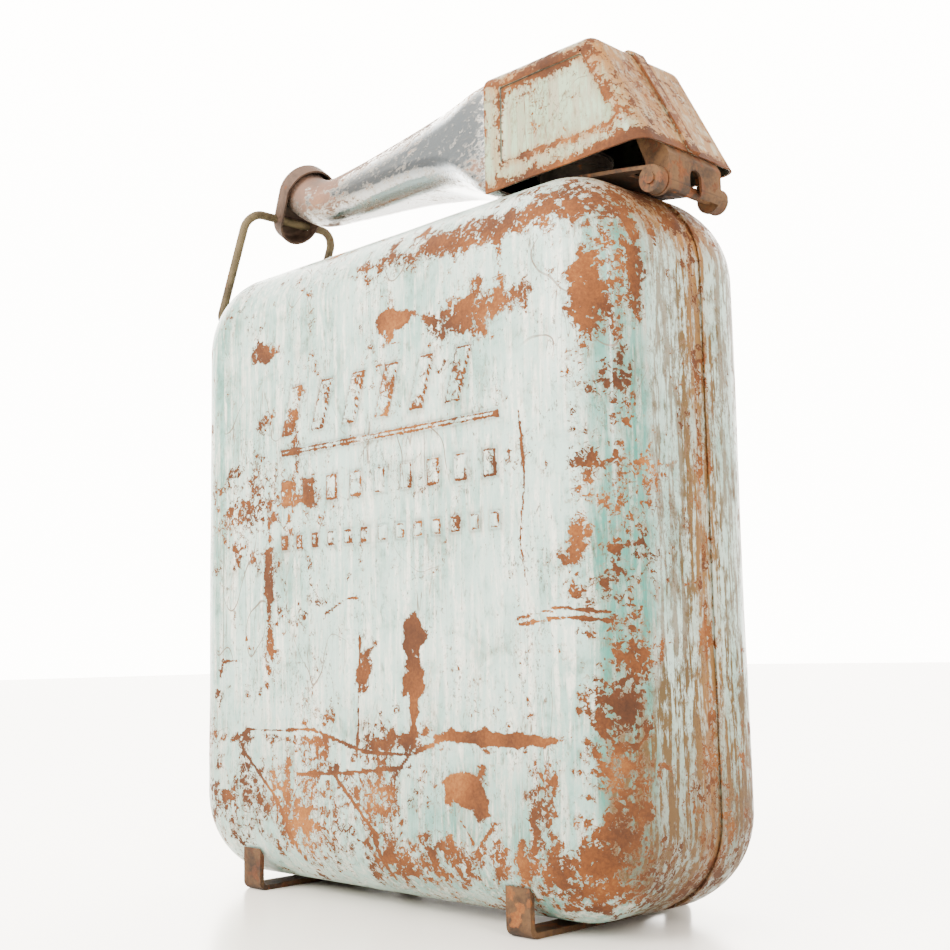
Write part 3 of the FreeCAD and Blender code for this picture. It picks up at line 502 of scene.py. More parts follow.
def worn_plating(name):
    """Bright plating gone patchy: clean bands, brown freckles and rust where it has worn through."""
    graph = Graph(name)
    cloud = graph.noise(60.0, detail=6.0, rough=0.65, place=graph.stretch((0.5, 1.0, 1.0)), warp=0.8)
    fine = graph.noise(620.0, detail=5.0, rough=0.75, place=graph.stretch((0.55, 1.0, 1.0)))
    field = graph.total((cloud, 0.45), (fine, 0.55))
    bare = graph.maths("ADD", field, graph.maths("MULTIPLY", graph.attribute("wear"), 0.16))
    rust = graph.step(bare, 0.600, 0.640)
    dull = graph.step(bare, 0.50, 0.62)
    steel = graph.mix(graph.noise(26.0, detail=3.0), (0.52, 0.62, 0.70), (0.80, 0.81, 0.80))
    steel = graph.mix(graph.maths("MULTIPLY", dull, 0.6), steel, (0.48, 0.38, 0.26))
    colour = graph.mix(graph.maths("MULTIPLY", rust, 0.9), steel, rust_colour(graph))
    # Painted shade: near-black where the "shade" attribute is high.
    colour = graph.mix(graph.attribute("shade"), colour, SHADE_ON_PLATING)
    rough = graph.maths("ADD", graph.maths("MULTIPLY", dull, 0.28), 0.10)
    rough = graph.maths("MAXIMUM", rough, graph.maths("MULTIPLY", rust, 0.75))
    metal = graph.maths("SUBTRACT", 1.0, graph.maths("MULTIPLY", rust, 0.85))
    normal = graph.bump(field, 0.22, 0.25 * MM)
    return graph.finish(colour, rough, metal, normal)


def oiled_leather(name):
    """A dark leather or cork disc, soaked and mottled."""
    graph = Graph(name)
    grain = graph.cells(900.0)[0]
    cloud = graph.noise(120.0)
    colour = graph.mix(cloud, (0.016, 0.010, 0.007), (0.050, 0.030, 0.018))
    normal = graph.bump(grain, 0.5, 0.2 * MM)
    return graph.finish(colour, graph.step(cloud, 0.3, 0.7, 0.55, 0.8), 0.0, normal)


# The two paints: pale and deep shade, rubbed places that are partly a painted sheen, dark streaks whose
# colour also paints shade, and the wear that is everywhere.
BODY_PAINT = {
    "pale": (0.37, 0.50, 0.46),
    "deep": (0.045, 0.19, 0.155),
    "rubbed": (0.86, 0.83, 0.74),
    "streak_and_shade": (0.062, 0.040, 0.013),
    "base_wear": 0.30,
}
HOOD_PAINT = {
    "pale": (0.27, 0.36, 0.24),
    "deep": (0.10, 0.17, 0.10),
    "rubbed": (0.48, 0.50, 0.38),
    "streak_and_shade": (0.13, 0.065, 0.020),
    "base_wear": 0.42,
}
# The bare metals: name, dark and light shade, how many orange spots, least roughness, and shine.
METALS = {
    "rusty": ("rusty_strap", (0.018, 0.009, 0.005), (0.105, 0.054, 0.024), 0.10, 0.6, 0.15),
    # The tin of the neck and stopper, and the stopper's spring steel, lie in the hood's dark inside: their
    # colours are darkened as painted shade.
    "tinned": ("tin_darkened_as_shade", (0.018, 0.014, 0.011), (0.070, 0.055, 0.042), 0.0, 0.5, 0.5),
    "spring": ("spring_steel", (0.030, 0.025, 0.020), (0.120, 0.105, 0.085), -0.03, 0.4, 0.7),
    "wire": ("bail_wire_brown", (0.030, 0.020, 0.010), (0.125, 0.095, 0.052), 0.0, 0.4, 0.35),
    "cap": ("cap_sheet_brown", (0.022, 0.012, 0.008), (0.125, 0.078, 0.056), -0.01, 0.38, 0.4),
}
MATERIALS = {}


def make_materials():
    """One material for each finish on the object."""
    MATERIALS["body"] = worn_paint("body_paint_worn", BODY_PAINT)
    MATERIALS["hood"] = worn_paint("hood_paint_worn", HOOD_PAINT)
    MATERIALS["plating"] = worn_plating("spout_plating")
    MATERIALS["leather"] = oiled_leather("oiled_washer")
    for key, settings in METALS.items():
        MATERIALS[key] = rusty_metal(*settings)


# ---------------------------------------------------------------- mesh helpers


def add_attributes(data, attributes):
    """Keep named numbers on a mesh's points, for its material to read."""
    for key, values in attributes.items():
        layer = data.attributes.new(key, "FLOAT", "POINT")
        layer.data.foreach_set("value", np.asarray(values, dtype=np.float32))


def make_object(name, data, material):
    """A smooth-shaded object of a mesh, with its material."""
    data.shade_smooth()
    data.materials.append(MATERIALS[material])
    made = bpy.data.objects.new(name, data)
    bpy.context.scene.collection.objects.link(made)
    return made


def mesh_of(name, points, faces):
    """A mesh from its points and faces."""
    data = bpy.data.meshes.new(name)
    data.from_pydata([tuple(p) for p in points], [], faces)
    data.validate()
    return data


def strip_faces(rows, columns, closed=False, flip=False):
    """Quads between neighbouring rows of a point grid; closed joins each row's end to its start."""
    faces = []
    across = columns if closed else columns - 1
    for i in range(rows - 1):
        for j in range(across):
            k = (j + 1) % columns
            quad = (i * columns + j, i * columns + k, (i + 1) * columns + k, (i + 1) * columns + j)
            faces.append(quad[::-1] if flip else quad)
    return faces


# ---------------------------------------------------------------- wear on the can

# Places where the paint is gone or thin: middle, half size and strength. Along an axis whose middle is
# None the place has no end.
RUST_SPOTS = [
    ((None, 0.006, None), (1, 0.0036, 1), 0.75),
    ((0.027, None, 0.094), (0.0045, 1, 0.012), 1.9),
    ((0.000, None, 0.085), (0.0055, 1, 0.005), 1.5),
    ((0.066, None, 0.0635), (0.028, 1, 0.0020), 2.4),
    ((0.053, None, 0.045), (0.009, 1, 0.006), 2.2),
    ((0.021, None, 0.215), (0.012, 1, 0.003), 1.9),
    ((0.060, None, 0.211), (0.026, 1, 0.007), 1.1),
    ((0.055, None, 0.238), (0.050, 1, 0.006), 1.15),
    ((0.105, None, 0.242), (0.022, 1, 0.011), 0.95),
    ((0.107, -0.042, 0.212), (0.0045, 0.008, 0.015), 1.1),
    ((0.104, -0.044, 0.130), (0.004, 0.006, 0.080), 0.75),
    ((0.117, -0.030, 0.110), (0.008, 0.006, 0.055), 0.60),
    ((0.114, -0.035, 0.060), (0.008, 0.010, 0.034), 1.15),
    ((0.100, -0.040, 0.020), (0.026, 0.016, 0.014), 1.1),
    ((0.088, None, 0.036), (0.006, 1, 0.022), 0.9),
    ((-0.020, None, 0.038), (0.040, 1, 0.026), 0.75),
    ((-0.065, None, 0.034), (0.032, 1, 0.020), 0.85),
    ((0.020, None, 0.022), (0.045, 1, 0.008), 0.9),
    ((-0.019, None, 0.060), (0.070, 1, 0.0022), 1.0),
    ((-0.058, None, 0.122), (0.003, 1, 0.028), 1.3),
    ((-0.060, None, 0.216), (0.010, 1, 0.003), 1.0),
    ((0.118, -0.026, 0.215), (0.004, 0.003, 0.016), 1.1),
    ((0.110, 0.006, 0.247), (0.026, 0.016, 0.012), 0.9),
    ((0.118, 0.000, 0.020), (0.030, 0.060, 0.016), 0.8),
    ((0.118, -0.004, 0.040), (0.010, 0.008, 0.020), 0.9),
    ((-0.060, 0.046, 0.150), (0.030, 1, 0.030), 0.6),
    ((0.040, 0.046, 0.060), (0.050, 0.02, 0.030), 0.8),
    ((0.000, 0.046, 0.215), (0.080, 0.02, 0.010), 0.7),
    ((-0.115, None, 0.060), (0.008, 1, 0.045), 0.75),
    ((-0.112, None, 0.200), (0.010, 1, 0.035), 0.65),
]
# Long single scratches on the front face, from end to end, as (X, Z) points.
LONG_SCRATCHES = [
    [(-0.084, 0.058), (-0.072, 0.063), (-0.030, 0.064), (0.000, 0.057), (0.026, 0.057), (0.042, 0.063)],
    [(0.026, 0.075), (0.027, 0.060), (0.020, 0.052), (-0.010, 0.049), (-0.040, 0.047)],
    [(-0.002, 0.100), (-0.003, 0.074), (-0.004, 0.055)],
    [(0.081, 0.172), (0.083, 0.150), (0.080, 0.128), (0.083, 0.112)],
    [(0.078, 0.103), (0.096, 0.106), (0.112, 0.104)],
    [(0.079, 0.101), (0.098, 0.103), (0.114, 0.101)],
    [(-0.022, 0.108), (-0.010, 0.113), (-0.003, 0.113)],
    [(-0.095, 0.075), (-0.090, 0.090), (-0.080, 0.091)],
    [(-0.076, 0.055), (-0.052, 0.036), (-0.040, 0.014)],
    [(-0.020, 0.050), (0.004, 0.030), (0.010, 0.012)],
    [(0.050, 0.036), (0.058, 0.027), (0.066, 0.036)],
]
SCRATCH_HALF = 0.5 * MM
EDGE_WEAR = 0.34
SCRATCH_WEAR = 1.4
# The stained corner below the hinge, and how far the stain spreads each way.
HINGE_CORNER = np.array((0.108, 0.0, 0.250))
CORNER_SPREAD = 26 * MM * np.array((1.0, 1.6, 1.0))


def route_distance(flat, route):
    """Distance of each flat point from a chain of straight lines."""
    nearest = np.full(len(flat), np.inf)
    for start, end in zip(route, route[1:]):
        a, b = np.array(start), np.array(end)
        along = np.clip(((flat - a) @ (b - a)) / ((b - a) @ (b - a)), 0, 1)
        nearest = np.minimum(nearest, np.linalg.norm(flat - (a + along[:, None] * (b - a)), axis=1))
    return nearest


def rust_places(points):
    """How far each point lies inside the places where the paint has gone, with ragged outlines."""
    total = np.zeros(len(points))
    ragged = 1.0 + 0.7 * wobble(points, 90.0, 3) + 0.5 * wobble(points, 240.0, 4)
    for middle, half, strength in RUST_SPOTS:
        away = np.zeros(len(points))
        for axis in range(3):
            if middle[axis] is not None:
                away += ((points[:, axis] - middle[axis]) / half[axis]) ** 2
        total = np.maximum(total, strength * smooth(1.6 - np.sqrt(away) * ragged))
    return total


def scratch_lines(points):
    """1 on the long scratches of the front face, 0 away from them."""
    marked = np.zeros(len(points))
    for route in LONG_SCRATCHES:
        away = route_distance(points[:, [0, 2]], route)
        marked = np.maximum(marked, smooth(1.5 - away / SCRATCH_HALF))
    on_front = points[:, 1] < -0.8 * HALF_DEPTH
    return marked * on_front


def can_attributes(points, edge):
    """Wear, teal, dirt with painted shade, haze and painted shade on the can, from where each point is."""
    x, y, z = points.T
    low = fall(z, 100 * MM, 70 * MM)
    left = fall(x, -75 * MM, 30 * MM)
    far_left = fall(x, -95 * MM, 14 * MM)
    rounding = rise(x, 103 * MM, 7 * MM) * fall(y, -19 * MM, 7 * MM)
    wall = np.clip(rise(x, 106 * MM, 8 * MM) + rise(y, -20 * MM, 10 * MM), 0, 1)
    seam = np.exp(-(((y - 5 * MM) / (7 * MM)) ** 2))
    corner = np.linalg.norm((points - HINGE_CORNER) / CORNER_SPREAD, axis=1)
    wear = np.maximum(rust_places(points), EDGE_WEAR * edge) + SCRATCH_WEAR * scratch_lines(points)
    teal = np.maximum(0.8 * rounding, 0.30 * np.maximum(low, left))
    # Real dirt along the seam, and painted shade: the end wall, its lower part, the bottom of the can and
    # its far left edge are darkened.
    grime_and_shade = 0.06 + 0.60 * wall * (1 - rounding) + 0.8 * seam * wall + 1.4 * low * wall
    grime_and_shade += 0.15 * low + 0.35 * far_left
    haze = 0.9 * smooth(1.35 - corner) + 0.55 * seam * wall + 0.30 * low * wall
    # Painted shade: the end wall darker towards the bottom.
    shade = 0.42 * fall(z, 85 * MM, 70 * MM) * wall
    grime_and_shade, haze = np.clip(grime_and_shade, 0, 1), np.clip(haze, 0, 1)
    return {"wear": wear, "teal": teal, "grime_and_shade": grime_and_shade, "haze": haze, "shade": shade}


# ---------------------------------------------------------------- raised ornament

ORNAMENT_LEFT = -50.0 * MM
ORNAMENT_WIDTH = 122.0 * MM
RELIEF_BLEND = 1.3 * MM
BAR_LEVEL = 171.0 * MM
BAR_HEIGHT = 3.0 * MM
# Rows of raised blocks, in millimetres: how many, pitch, level of the foot, width, height and slant.
ORNAMENT_ROWS = (
    (6, 19.0, 179.0, 8.0, 20.0, 7.0),
    (9, 14.2, 151.0, 7.0, 10.0, 0.0),
    (13, 9.7, 133.5, 5.0, 6.0, 0.0),
)


def inside_slanted(x, z, left, low, wide, tall, slant):
    """Distance inside a slanted upright block, negative outside."""
    shear = slant * (z - low) / tall
    across = np.minimum(x - left - shear, left + wide + shear - x)
    return np.minimum(across, np.minimum(z - low, low + tall - z))


def ornament_depth(points):
    """Distance inside the raised ornament: slanted flutes over a bar, and two rows of short blocks."""
    x, z = points[:, 0], points[:, 2]
    depth = inside_slanted(x, z, ORNAMENT_LEFT, BAR_LEVEL, ORNAMENT_WIDTH, BAR_HEIGHT, 0.0)
    for count, pitch, low, wide, tall, slant in ORNAMENT_ROWS:
        for i in range(count):
            left = ORNAMENT_LEFT + i * pitch * MM
            block = inside_slanted(x, z, left, low * MM, wide * MM, tall * MM, slant * MM)
            depth = np.maximum(depth, block)
    return depth


def relief_height(points):
    """Height of the raised ornament over the flat face."""
    return RELIEF * smooth(ornament_depth(points) / RELIEF_BLEND)


# ---------------------------------------------------------------- the two pans


CORNER_TICKS = 9
LEAST_TICKS = 8
ROUND_STEPS = 16
WALL_STEPS = 11
FRONT_SPACING = 0.8 * MM
REAR_SPACING = 3.0 * MM
# Knocks fade out near the seam, so that the pans keep fitting.
SEAM_QUIET = 8 * MM
NECK_LIP = 1.2 * MM
TOP_WALL = 5 * MM
# Shallow knocks in the sheet: centre and radius in metres, depth in millimetres.
DENTS = [
    ((0.085, -0.046, 0.10), 0.035, 0.7),
    ((-0.05, -0.046, 0.075), 0.030, 0.6),
    ((0.02, -0.046, 0.13), 0.045, 0.6),
    ((0.118, -0.020, 0.045), 0.016, 0.6),
    ((0.06, 0.046, 0.12), 0.040, 0.9),
    ((-0.07, 0.046, 0.18), 0.028, 0.8),
    ((-0.118, 0.010, 0.12), 0.022, 0.6),
]


def ticks(half, corner, spacing):
    """Grid lines from -half to half, closer together inside the two corner lengths."""
    middle = max(LEAST_TICKS, round(2 * (half - corner) / spacing))
    ends = np.linspace(0, corner, CORNER_TICKS + 1)[:-1]
    centre = np.linspace(-half + corner, half - corner, middle)
    return np.concatenate([ends - half, centre, half - ends[::-1]])


def rounded_grid(half_x, half_z, corner, spacing):
    """A flat grid whose outline is a rounded rectangle, and the outline's loop with its normals."""
    xs, zs = ticks(half_x, corner, spacing), ticks(half_z, corner, spacing)
    x, z = np.meshgrid(xs, zs, indexing="ij")
    s = np.clip((np.abs(x) - (half_x - corner)) / corner, 0, 1)
    t = np.clip((np.abs(z) - (half_z - corner)) / corner, 0, 1)
    x = np.where(s > 0, np.sign(x) * (half_x - corner + corner * s * np.sqrt(1 - t * t / 2)), x)
    z = np.where(t > 0, np.sign(z) * (half_z - corner + corner * t * np.sqrt(1 - s * s / 2)), z)
    rows, columns = x.shape
    loop = [(i, 0) for i in range(rows - 1)] + [(rows - 1, j) for j in range(columns - 1)]
    loop += [(i, columns - 1) for i in range(rows - 1, 0, -1)] + [(0, j) for j in range(columns - 1, 0, -1)]
    flat = np.stack([x.ravel(), z.ravel()], axis=1)
    border = [i * columns + j for i, j in loop]
    edge = flat[border]
    core = np.clip(edge, [-half_x + corner, -half_z + corner], [half_x - corner, half_z - corner])
    out = edge - core
    out /= np.linalg.norm(out, axis=1)[:, None]
    return flat, (rows, columns), border, out


def pan_rings(side, tail):
    """Rings beyond the flat face: how far out and how deep each lies, and its normal's two parts."""
    rings = [
        (EDGE_RADIUS * math.sin(a), EDGE_RADIUS * (1 - math.cos(a)), math.sin(a), math.cos(a))
        for a in np.linspace(0, math.pi / 2, ROUND_STEPS + 1)[1:]
    ]
    levels = np.linspace(HALF_DEPTH - EDGE_RADIUS, side * tail[0][1], WALL_STEPS + 1)[1:]
    rings += [(EDGE_RADIUS, HALF_DEPTH - y, 1.0, 0.0) for y in levels]
    rings += [(EDGE_RADIUS + step, HALF_DEPTH - side * y, 1.0, 0.0) for step, y in tail[1:]]
    return rings


def pan_surface(side, spacing, tail):
    """One pan before wear: its points, their normals, how near each is to an edge, and the faces."""
    corner = OUTLINE_RADIUS - EDGE_RADIUS
    half_x, half_z = HALF_WIDTH - EDGE_RADIUS, HALF_HEIGHT - EDGE_RADIUS
    flat, (rows, columns), border, out = rounded_grid(half_x, half_z, corner, spacing)
    count = len(border)
    points = [np.column_stack([flat[:, 0], np.full(len(flat), side * HALF_DEPTH), flat[:, 1]])]
    normals = [np.tile([0.0, side, 0.0], (len(flat), 1))]
    edges = [np.zeros(len(flat))]
    faces = strip_faces(rows, columns, flip=side < 0)
    ring, start = border, len(flat)
    for reach, depth, out_part, face_part in pan_rings(side, tail):
        spread = flat[border] + out * reach
        level = np.full(count, side * (HALF_DEPTH - depth))
        points.append(np.column_stack([spread[:, 0], level, spread[:, 1]]))
        facing = np.full(count, side * face_part)
        normals.append(np.column_stack([out[:, 0] * out_part, facing, out[:, 1] * out_part]))
        edges.append(np.full(count, math.sin(math.pi * min(depth / EDGE_RADIUS, 1.0))))
        fresh = list(range(start, start + count))
        for j in range(count):
            k = (j + 1) % count
            quad = (ring[k], ring[j], fresh[j], fresh[k])
            faces.append(quad if side < 0 else quad[::-1])
        ring, start = fresh, start + count
    points, normals, edges = np.concatenate(points), np.concatenate(normals), np.concatenate(edges)
    points[:, 2] += MIDDLE
    return points, normals, edges, faces


def dent(points, normals):
    """Push the sheet in by its uneven flatness and its knocks, but not at the seam."""
    depth = 0.30 * (1 + wobble(points, 14.0, 1)) + 0.10 * (1 + wobble(points, 42.0, 2))
    for centre, radius, deepest in DENTS:
        away = np.linalg.norm(points - np.array(centre), axis=1) / radius
        depth += deepest * np.exp(-(away**2))
    quiet = rise(np.abs(points[:, 1] - SEAM_REAR), SEAM_QUIET, SEAM_QUIET)
    return points - normals * (depth * MM * quiet)[:, None]


def raise_ornament(points, normals):
    """Lift the ornament out of the flat front, no higher than its CAD shape."""
    on_face = (np.abs(normals[:, 1]) > 0.99)[:, None]
    points = points + on_face * normals * relief_height(points)[:, None]
    points[:, 1] = np.maximum(points[:, 1], -HALF_DEPTH - RELIEF)
    return points


def ornament_wear(attributes, points, normals):
    """Wear the ornament's rims through, darken the face around its foot with dirt and painted shade, and
    paint a thin shade line along the foot.
    """
    on_front = normals[:, 1] < -0.99
    raised = relief_height(points) / RELIEF * on_front
    rim = 4 * raised * (1 - raised)
    around = smooth(1 + ornament_depth(points) / (3.5 * MM)) * (1 - raised) * on_front
    foot = smooth(1 - np.abs(ornament_depth(points) + 0.2 * MM) / (0.7 * MM)) * on_front
    attributes["wear"] = attributes["wear"] + 1.2 * rim + 0.4 * raised
    attributes["grime_and_shade"] = np.clip(attributes["grime_and_shade"] + 0.22 * around, 0, 1)
    attributes["shade"] = np.maximum(attributes["shade"], 0.34 * foot)


def open_neck(points, faces):
    """Leave out the faces of the top wall that lie inside the filler neck."""
    centre = points[np.array(faces)].mean(axis=1)
    in_neck = np.hypot(centre[:, 0] - NECK_X, centre[:, 1]) < NECK_HIGH.y - NECK_LIP
    cut = (centre[:, 2] > TOP - TOP_WALL) & in_neck
    return [face for face, gone in zip(faces, cut) if not gone]


def pan(name, side, spacing, tail):
    """One pressed pan: a flat face, a quarter-round edge, a straight wall and the tail of the seam."""
    points, normals, edges, faces = pan_surface(side, spacing, tail)
    points = dent(points, normals)
    if side < 0:
        points = raise_ornament(points, normals)
    attributes = can_attributes(points, edges)
    if side < 0:
        ornament_wear(attributes, points, normals)
    data = mesh_of(name, points, open_neck(points, faces))
    add_attributes(data, attributes)
    made = make_object(name, data, "body")
    wall = made.modifiers.new("wall", "SOLIDIFY")
    wall.thickness = SHEET
    wall.offset = -1.0
    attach(made, "can")
    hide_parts(name.replace("_sheet", "_shell"))


def make_pans():
    """Front pan with its joggled lip, and rear pan with its square-cut edge lapping over the lip."""
    # A tail is the sheet's section past its straight wall: how far it steps out, and its level along Y.
    front_tail = [
        (0.0, 2.3 * MM),
        (-0.12 * MM, 2.9 * MM),
        (-0.5 * MM, 3.4 * MM),
        (-0.85 * MM, 3.9 * MM),
        (-JOGGLE, 4.6 * MM),
        (-JOGGLE, 10 * MM),
        (-JOGGLE, LIP_END),
    ]
    pan("front_sheet", -1, FRONT_SPACING, front_tail)
    rear_tail = [(0.0, SEAM_REAR + 0.5 * MM), (0.0, SEAM_REAR + 0.12 * MM), (-0.12 * MM, SEAM_REAR)]
    pan("rear_sheet", 1, REAR_SPACING, rear_tail)


# ---------------------------------------------------------------- pressed parts, diced from their CAD shape

CREASE_ANGLE = math.radians(38)
EDGE_REACH = 1.6 * MM
WELD_DISTANCE = 0.002 * MM
CUT_TOLERANCE = 0.001 * MM
WARP_SCALE = 38.0
WARP_SEED = 11

# The hood: its back slopes, and a panel is sunk into each side. The outline is (X, Z) points.
HOOD_HEEL = 123.5 * MM
HOOD_BACK_SLOPE = 0.56
HOOD_CENTRE = np.array((0.080, 0.0, 0.270))
HOOD_SHOULDER = 292 * MM
PANEL_OUTLINE = [(0.0565, 0.2684), (0.1085, 0.2684), (0.1125, 0.2720), (0.0975, 0.2990), (0.0565, 0.2990)]
PANEL_START, PANEL_END = 51.5 * MM, 116 * MM
PANEL_FOOT, PANEL_TOP = 264 * MM, 302 * MM
SIDE_LEVEL = 22 * MM
SIDE_ROUNDS = 10
ALL_ROUNDS = 3

SPOUT_LEVEL = 290 * MM


def diced_mesh(node, step):
    """A node's shape cut by planes a step apart, and the vertices on its sharp edges."""
    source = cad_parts[node]
    mesh = bmesh.new()
    mesh.from_mesh(source.data)
    mesh.transform(source.matrix_world)
    bmesh.ops.remove_doubles(mesh, verts=mesh.verts, dist=WELD_DISTANCE)
    for edge in mesh.edges:
        if len(edge.link_faces) == 2 and edge.calc_face_angle(0) > CREASE_ANGLE:
            edge.smooth = False
    low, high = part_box(node)
    for axis in range(3):
        normal = Vector([1.0 if k == axis else 0.0 for k in range(3)])
        for level in np.arange(low[axis] + step / 2, high[axis], step):
            everything = mesh.verts[:] + mesh.edges[:] + mesh.faces[:]
            bmesh.ops.bisect_plane(
                mesh, geom=everything, dist=CUT_TOLERANCE, plane_co=normal * float(level), plane_no=normal
            )
    creases = {vertex for edge in mesh.edges if not edge.smooth for vertex in edge.verts}
    return mesh, creases


def edge_nearness(mesh, creases):
    """1 on a sharp edge of the mesh, fading to 0 a little way from it."""
    tree = KDTree(len(creases))
    for index, vertex in enumerate(creases):
        tree.insert(vertex.co, index)
    tree.balance()
    away = np.array([tree.find(vertex.co)[2] for vertex in mesh.verts])
    return np.exp(-((away / EDGE_REACH) ** 2))


def soften_panel(mesh):
    """Round the edges of the hood's sunk side panels, as drawn sheet does."""
    near = [
        vertex
        for vertex in mesh.verts
        if abs(vertex.co.y) > SIDE_LEVEL
        and PANEL_START < vertex.co.x < PANEL_END
        and PANEL_FOOT < vertex.co.z < PANEL_TOP
    ]
    for _ in range(SIDE_ROUNDS):
        bmesh.ops.smooth_vert(mesh, verts=near, factor=0.5, use_axis_y=True)
    every_way = {"use_axis_x": True, "use_axis_y": True, "use_axis_z": True}
    for _ in range(ALL_ROUNDS):
        bmesh.ops.smooth_vert(mesh, verts=near, factor=0.5, **every_way)


def diced(node, body, material, step, warp, wear_at):
    """A finer copy of a CAD node, a little warped, with wear on its edges and where wear_at says."""
    mesh, creases = diced_mesh(node, step)
    if material == "hood":
        soften_panel(mesh)
    mesh.verts.ensure_lookup_table()
    mesh.normal_update()
    points = np.array([vertex.co[:] for vertex in mesh.verts])
    normals = np.array([vertex.normal[:] for vertex in mesh.verts])
    edge = edge_nearness(mesh, creases)
    for axis in range(3):
        points[:, axis] += warp * wobble(points, WARP_SCALE, WARP_SEED + axis)
    low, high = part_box(node)
    points = np.clip(points, np.array(low), np.array(high))
    for vertex, place in zip(mesh.verts, points):
        vertex.co = place
    data = bpy.data.meshes.new(node + "_worn")
    mesh.to_mesh(data)
    mesh.free()
    add_attributes(data, wear_at(points, edge, normals))
    made = make_object(node + "_worn", data, material)
    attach(made, body)
    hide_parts(node)


def hood_wear(points, edge, normals):
    """Rust on the hood: its rims and bends, all of its back; its inside is darkened with painted shade."""
    x, y, z = points.T
    back = rise(x, HOOD_HEEL - HOOD_BACK_SLOPE * (z - HOOD_FOOT) - 4 * MM, 6 * MM)
    rim = fall(z, HOOD_FOOT + 7 * MM, 5 * MM)
    shoulder = rise(np.abs(y), 21 * MM, 5 * MM) * rise(z, HOOD_SHOULDER, 8 * MM)
    outward = points - HOOD_CENTRE
    inside = smooth(0.5 - 8 * np.sum(outward * normals, axis=1) / np.linalg.norm(outward, axis=1))
    outline = PANEL_OUTLINE + PANEL_OUTLINE[:1]
    away = route_distance(points[:, [0, 2]], outline)
    beside = np.exp(-((away / (2.6 * MM)) ** 2)) * (np.abs(y) > 24 * MM)
    wear = (0.75 * edge + 0.35 * back + 0.9 * rim + 0.5 * shoulder + 0.3 * beside) * (1 - inside)
    haze = np.clip(0.95 * back + 0.55 * rim + 0.5 * shoulder + 0.7 * beside, 0, 1) * (1 - inside)
    grime_and_shade = 0.35 + 0.2 * back
    return {"wear": wear, "grime_and_shade": grime_and_shade, "haze": haze, "shade": 0.93 * inside}


def spout_wear(points, edge, normals):
    """The spout's plating is thin at both ends and along its upper side; its underside is darkened as a
    painted reflection and its inside as painted shade.
    """
    x, y, z = points.T
    nozzle = fall(x, -45 * MM, 30 * MM)
    root = rise(x, 30 * MM, 22 * MM)
    above = smooth(normals[:, 2] + 0.15)
    under = smooth(-1.3 * normals[:, 2])
    inner = smooth(-(y * normals[:, 1] + (z - SPOUT_LEVEL) * normals[:, 2]) / MM)
    wear = 0.15 + 0.4 * edge + 0.6 * nozzle + 0.3 * root + 0.8 * above
    return {"wear": wear, "shade": np.maximum(0.9 * inner, 0.45 * under)}


def bracket_wear(points, edge, normals):
    """The bail's bracket is painted with the can, and wears as the can does."""
    return can_attributes(points, edge)


def plain_wear(points, edge, normals):
    """Wear along the edges, and painted shade on faces that look down."""
    return {"wear": edge, "shade": 0.6 * smooth(-normals[:, 2])}


# Each diced part: body, slot, material, step and warp in millimetres, and what wears it.
DICED = {
    "hood_front_half": ("spout", "hood_paint", "hood", 1.2, 0.35, hood_wear),
    "hood_rear_half": ("spout", "hood_paint", "hood", 1.2, 0.35, hood_wear),
    "spout_tube": ("spout", "worn_chrome", "plating", 2.0, 0.30, spout_wear),
    "hinge_leaf": ("can", "rusty_steel", "rusty", 1.5, 0.25, plain_wear),
    "hinge_channel": ("spout", "rusty_steel", "rusty", 1.5, 0.2, plain_wear),
    "left_foot": ("can", "rusty_steel", "rusty", 2.0, 0.2, plain_wear),
    "right_foot": ("can", "rusty_steel", "rusty", 2.0, 0.2, plain_wear),
    "bail_bracket": ("can", "body_paint", "body", 1.2, 0.2, bracket_wear),
    "cap_cup": ("cap", "cap_steel", "cap", 1.2, 0.15, plain_wear),
}


def make_diced():
    """Build every pressed part that takes its shape from its CAD node."""
    for node, (body, slot, material, step, warp, wear_at) in DICED.items():
        diced(node, body, material, step * MM, warp * MM, wear_at)


# ---------------------------------------------------------------- the stopper's spring

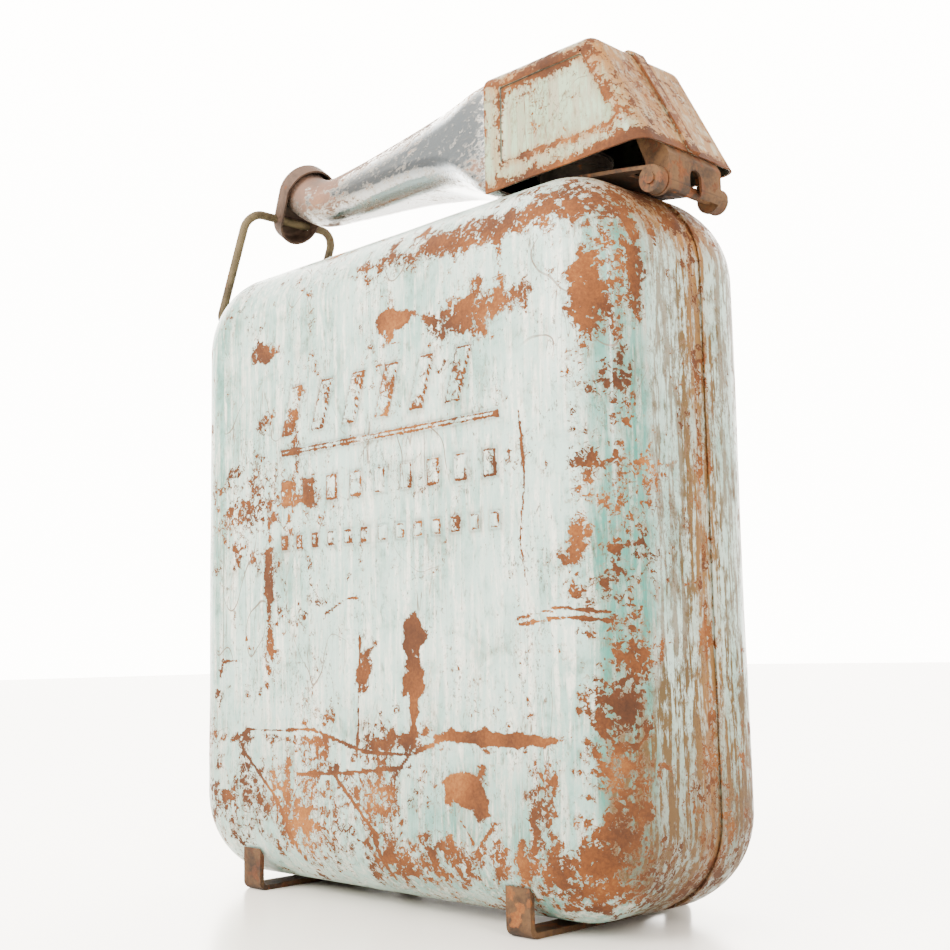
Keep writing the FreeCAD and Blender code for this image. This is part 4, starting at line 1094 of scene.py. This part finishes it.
SPRING_TURNS = 4
STEPS_PER_TURN = 28
SPRING_WIRE = 0.6 * MM
WIRE_SIDES = 10


def make_spring():
    """The stopper's coil spring, a helix of round wire that rides with the stopper."""
    low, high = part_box("stopper_spring")
    turns = np.linspace(0, SPRING_TURNS, SPRING_TURNS * STEPS_PER_TURN + 1)
    angle = 2 * math.pi * turns
    radius = (high.y - low.y) / 2 - SPRING_WIRE
    pitch = (high.z - low.z - 2 * SPRING_WIRE) / SPRING_TURNS
    climb = np.full(len(turns), pitch / (2 * math.pi * radius))
    radial = np.column_stack([np.cos(angle), np.sin(angle), np.zeros(len(turns))])
    along = np.column_stack([-np.sin(angle), np.cos(angle), climb])
    along /= np.linalg.norm(along, axis=1)[:, None]
    across = np.cross(along, radial)
    line = radial * radius + np.array((NECK_X, 0.0, low.z + SPRING_WIRE))
    line[:, 2] += pitch * turns
    around = 2 * math.pi * np.arange(WIRE_SIDES) / WIRE_SIDES
    ring = radial[:, None] * np.cos(around)[:, None] + across[:, None] * np.sin(around)[:, None]
    points = (line[:, None] + SPRING_WIRE * ring).reshape(-1, 3)
    faces = strip_faces(len(turns), WIRE_SIDES, closed=True)
    last = len(points) - WIRE_SIDES
    faces.append(tuple(reversed(range(WIRE_SIDES))))
    faces.append(tuple(range(last, len(points))))
    made = make_object("stopper_spring_coil", mesh_of("stopper_spring_coil", points, faces), "spring")
    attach(made, "stopper")
    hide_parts("stopper_spring")
    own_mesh(made)


# ---------------------------------------------------------------- cad nodes that keep their shape

CAD_FINISH = {
    "filler_neck": "tinned",
    "hinge_pin": "rusty",
    "stopper_guide": "tinned",
    "stopper_washer": "leather",
    "stopper_plate": "tinned",
    "stem_clip": "spring",
    "stopper_stem": "spring",
    "bail_wire": "wire",
    "cap_washer": "leather",
}


def finish_cad_nodes():
    """Give every CAD node that stays visible its material."""
    for node, material in CAD_FINISH.items():
        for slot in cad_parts[node].material_slots:
            slot.material = MATERIALS[material]


make_camera()
make_lights()
make_world()
make_floor()
make_materials()
make_pans()
make_diced()
make_spring()
finish_cad_nodes()
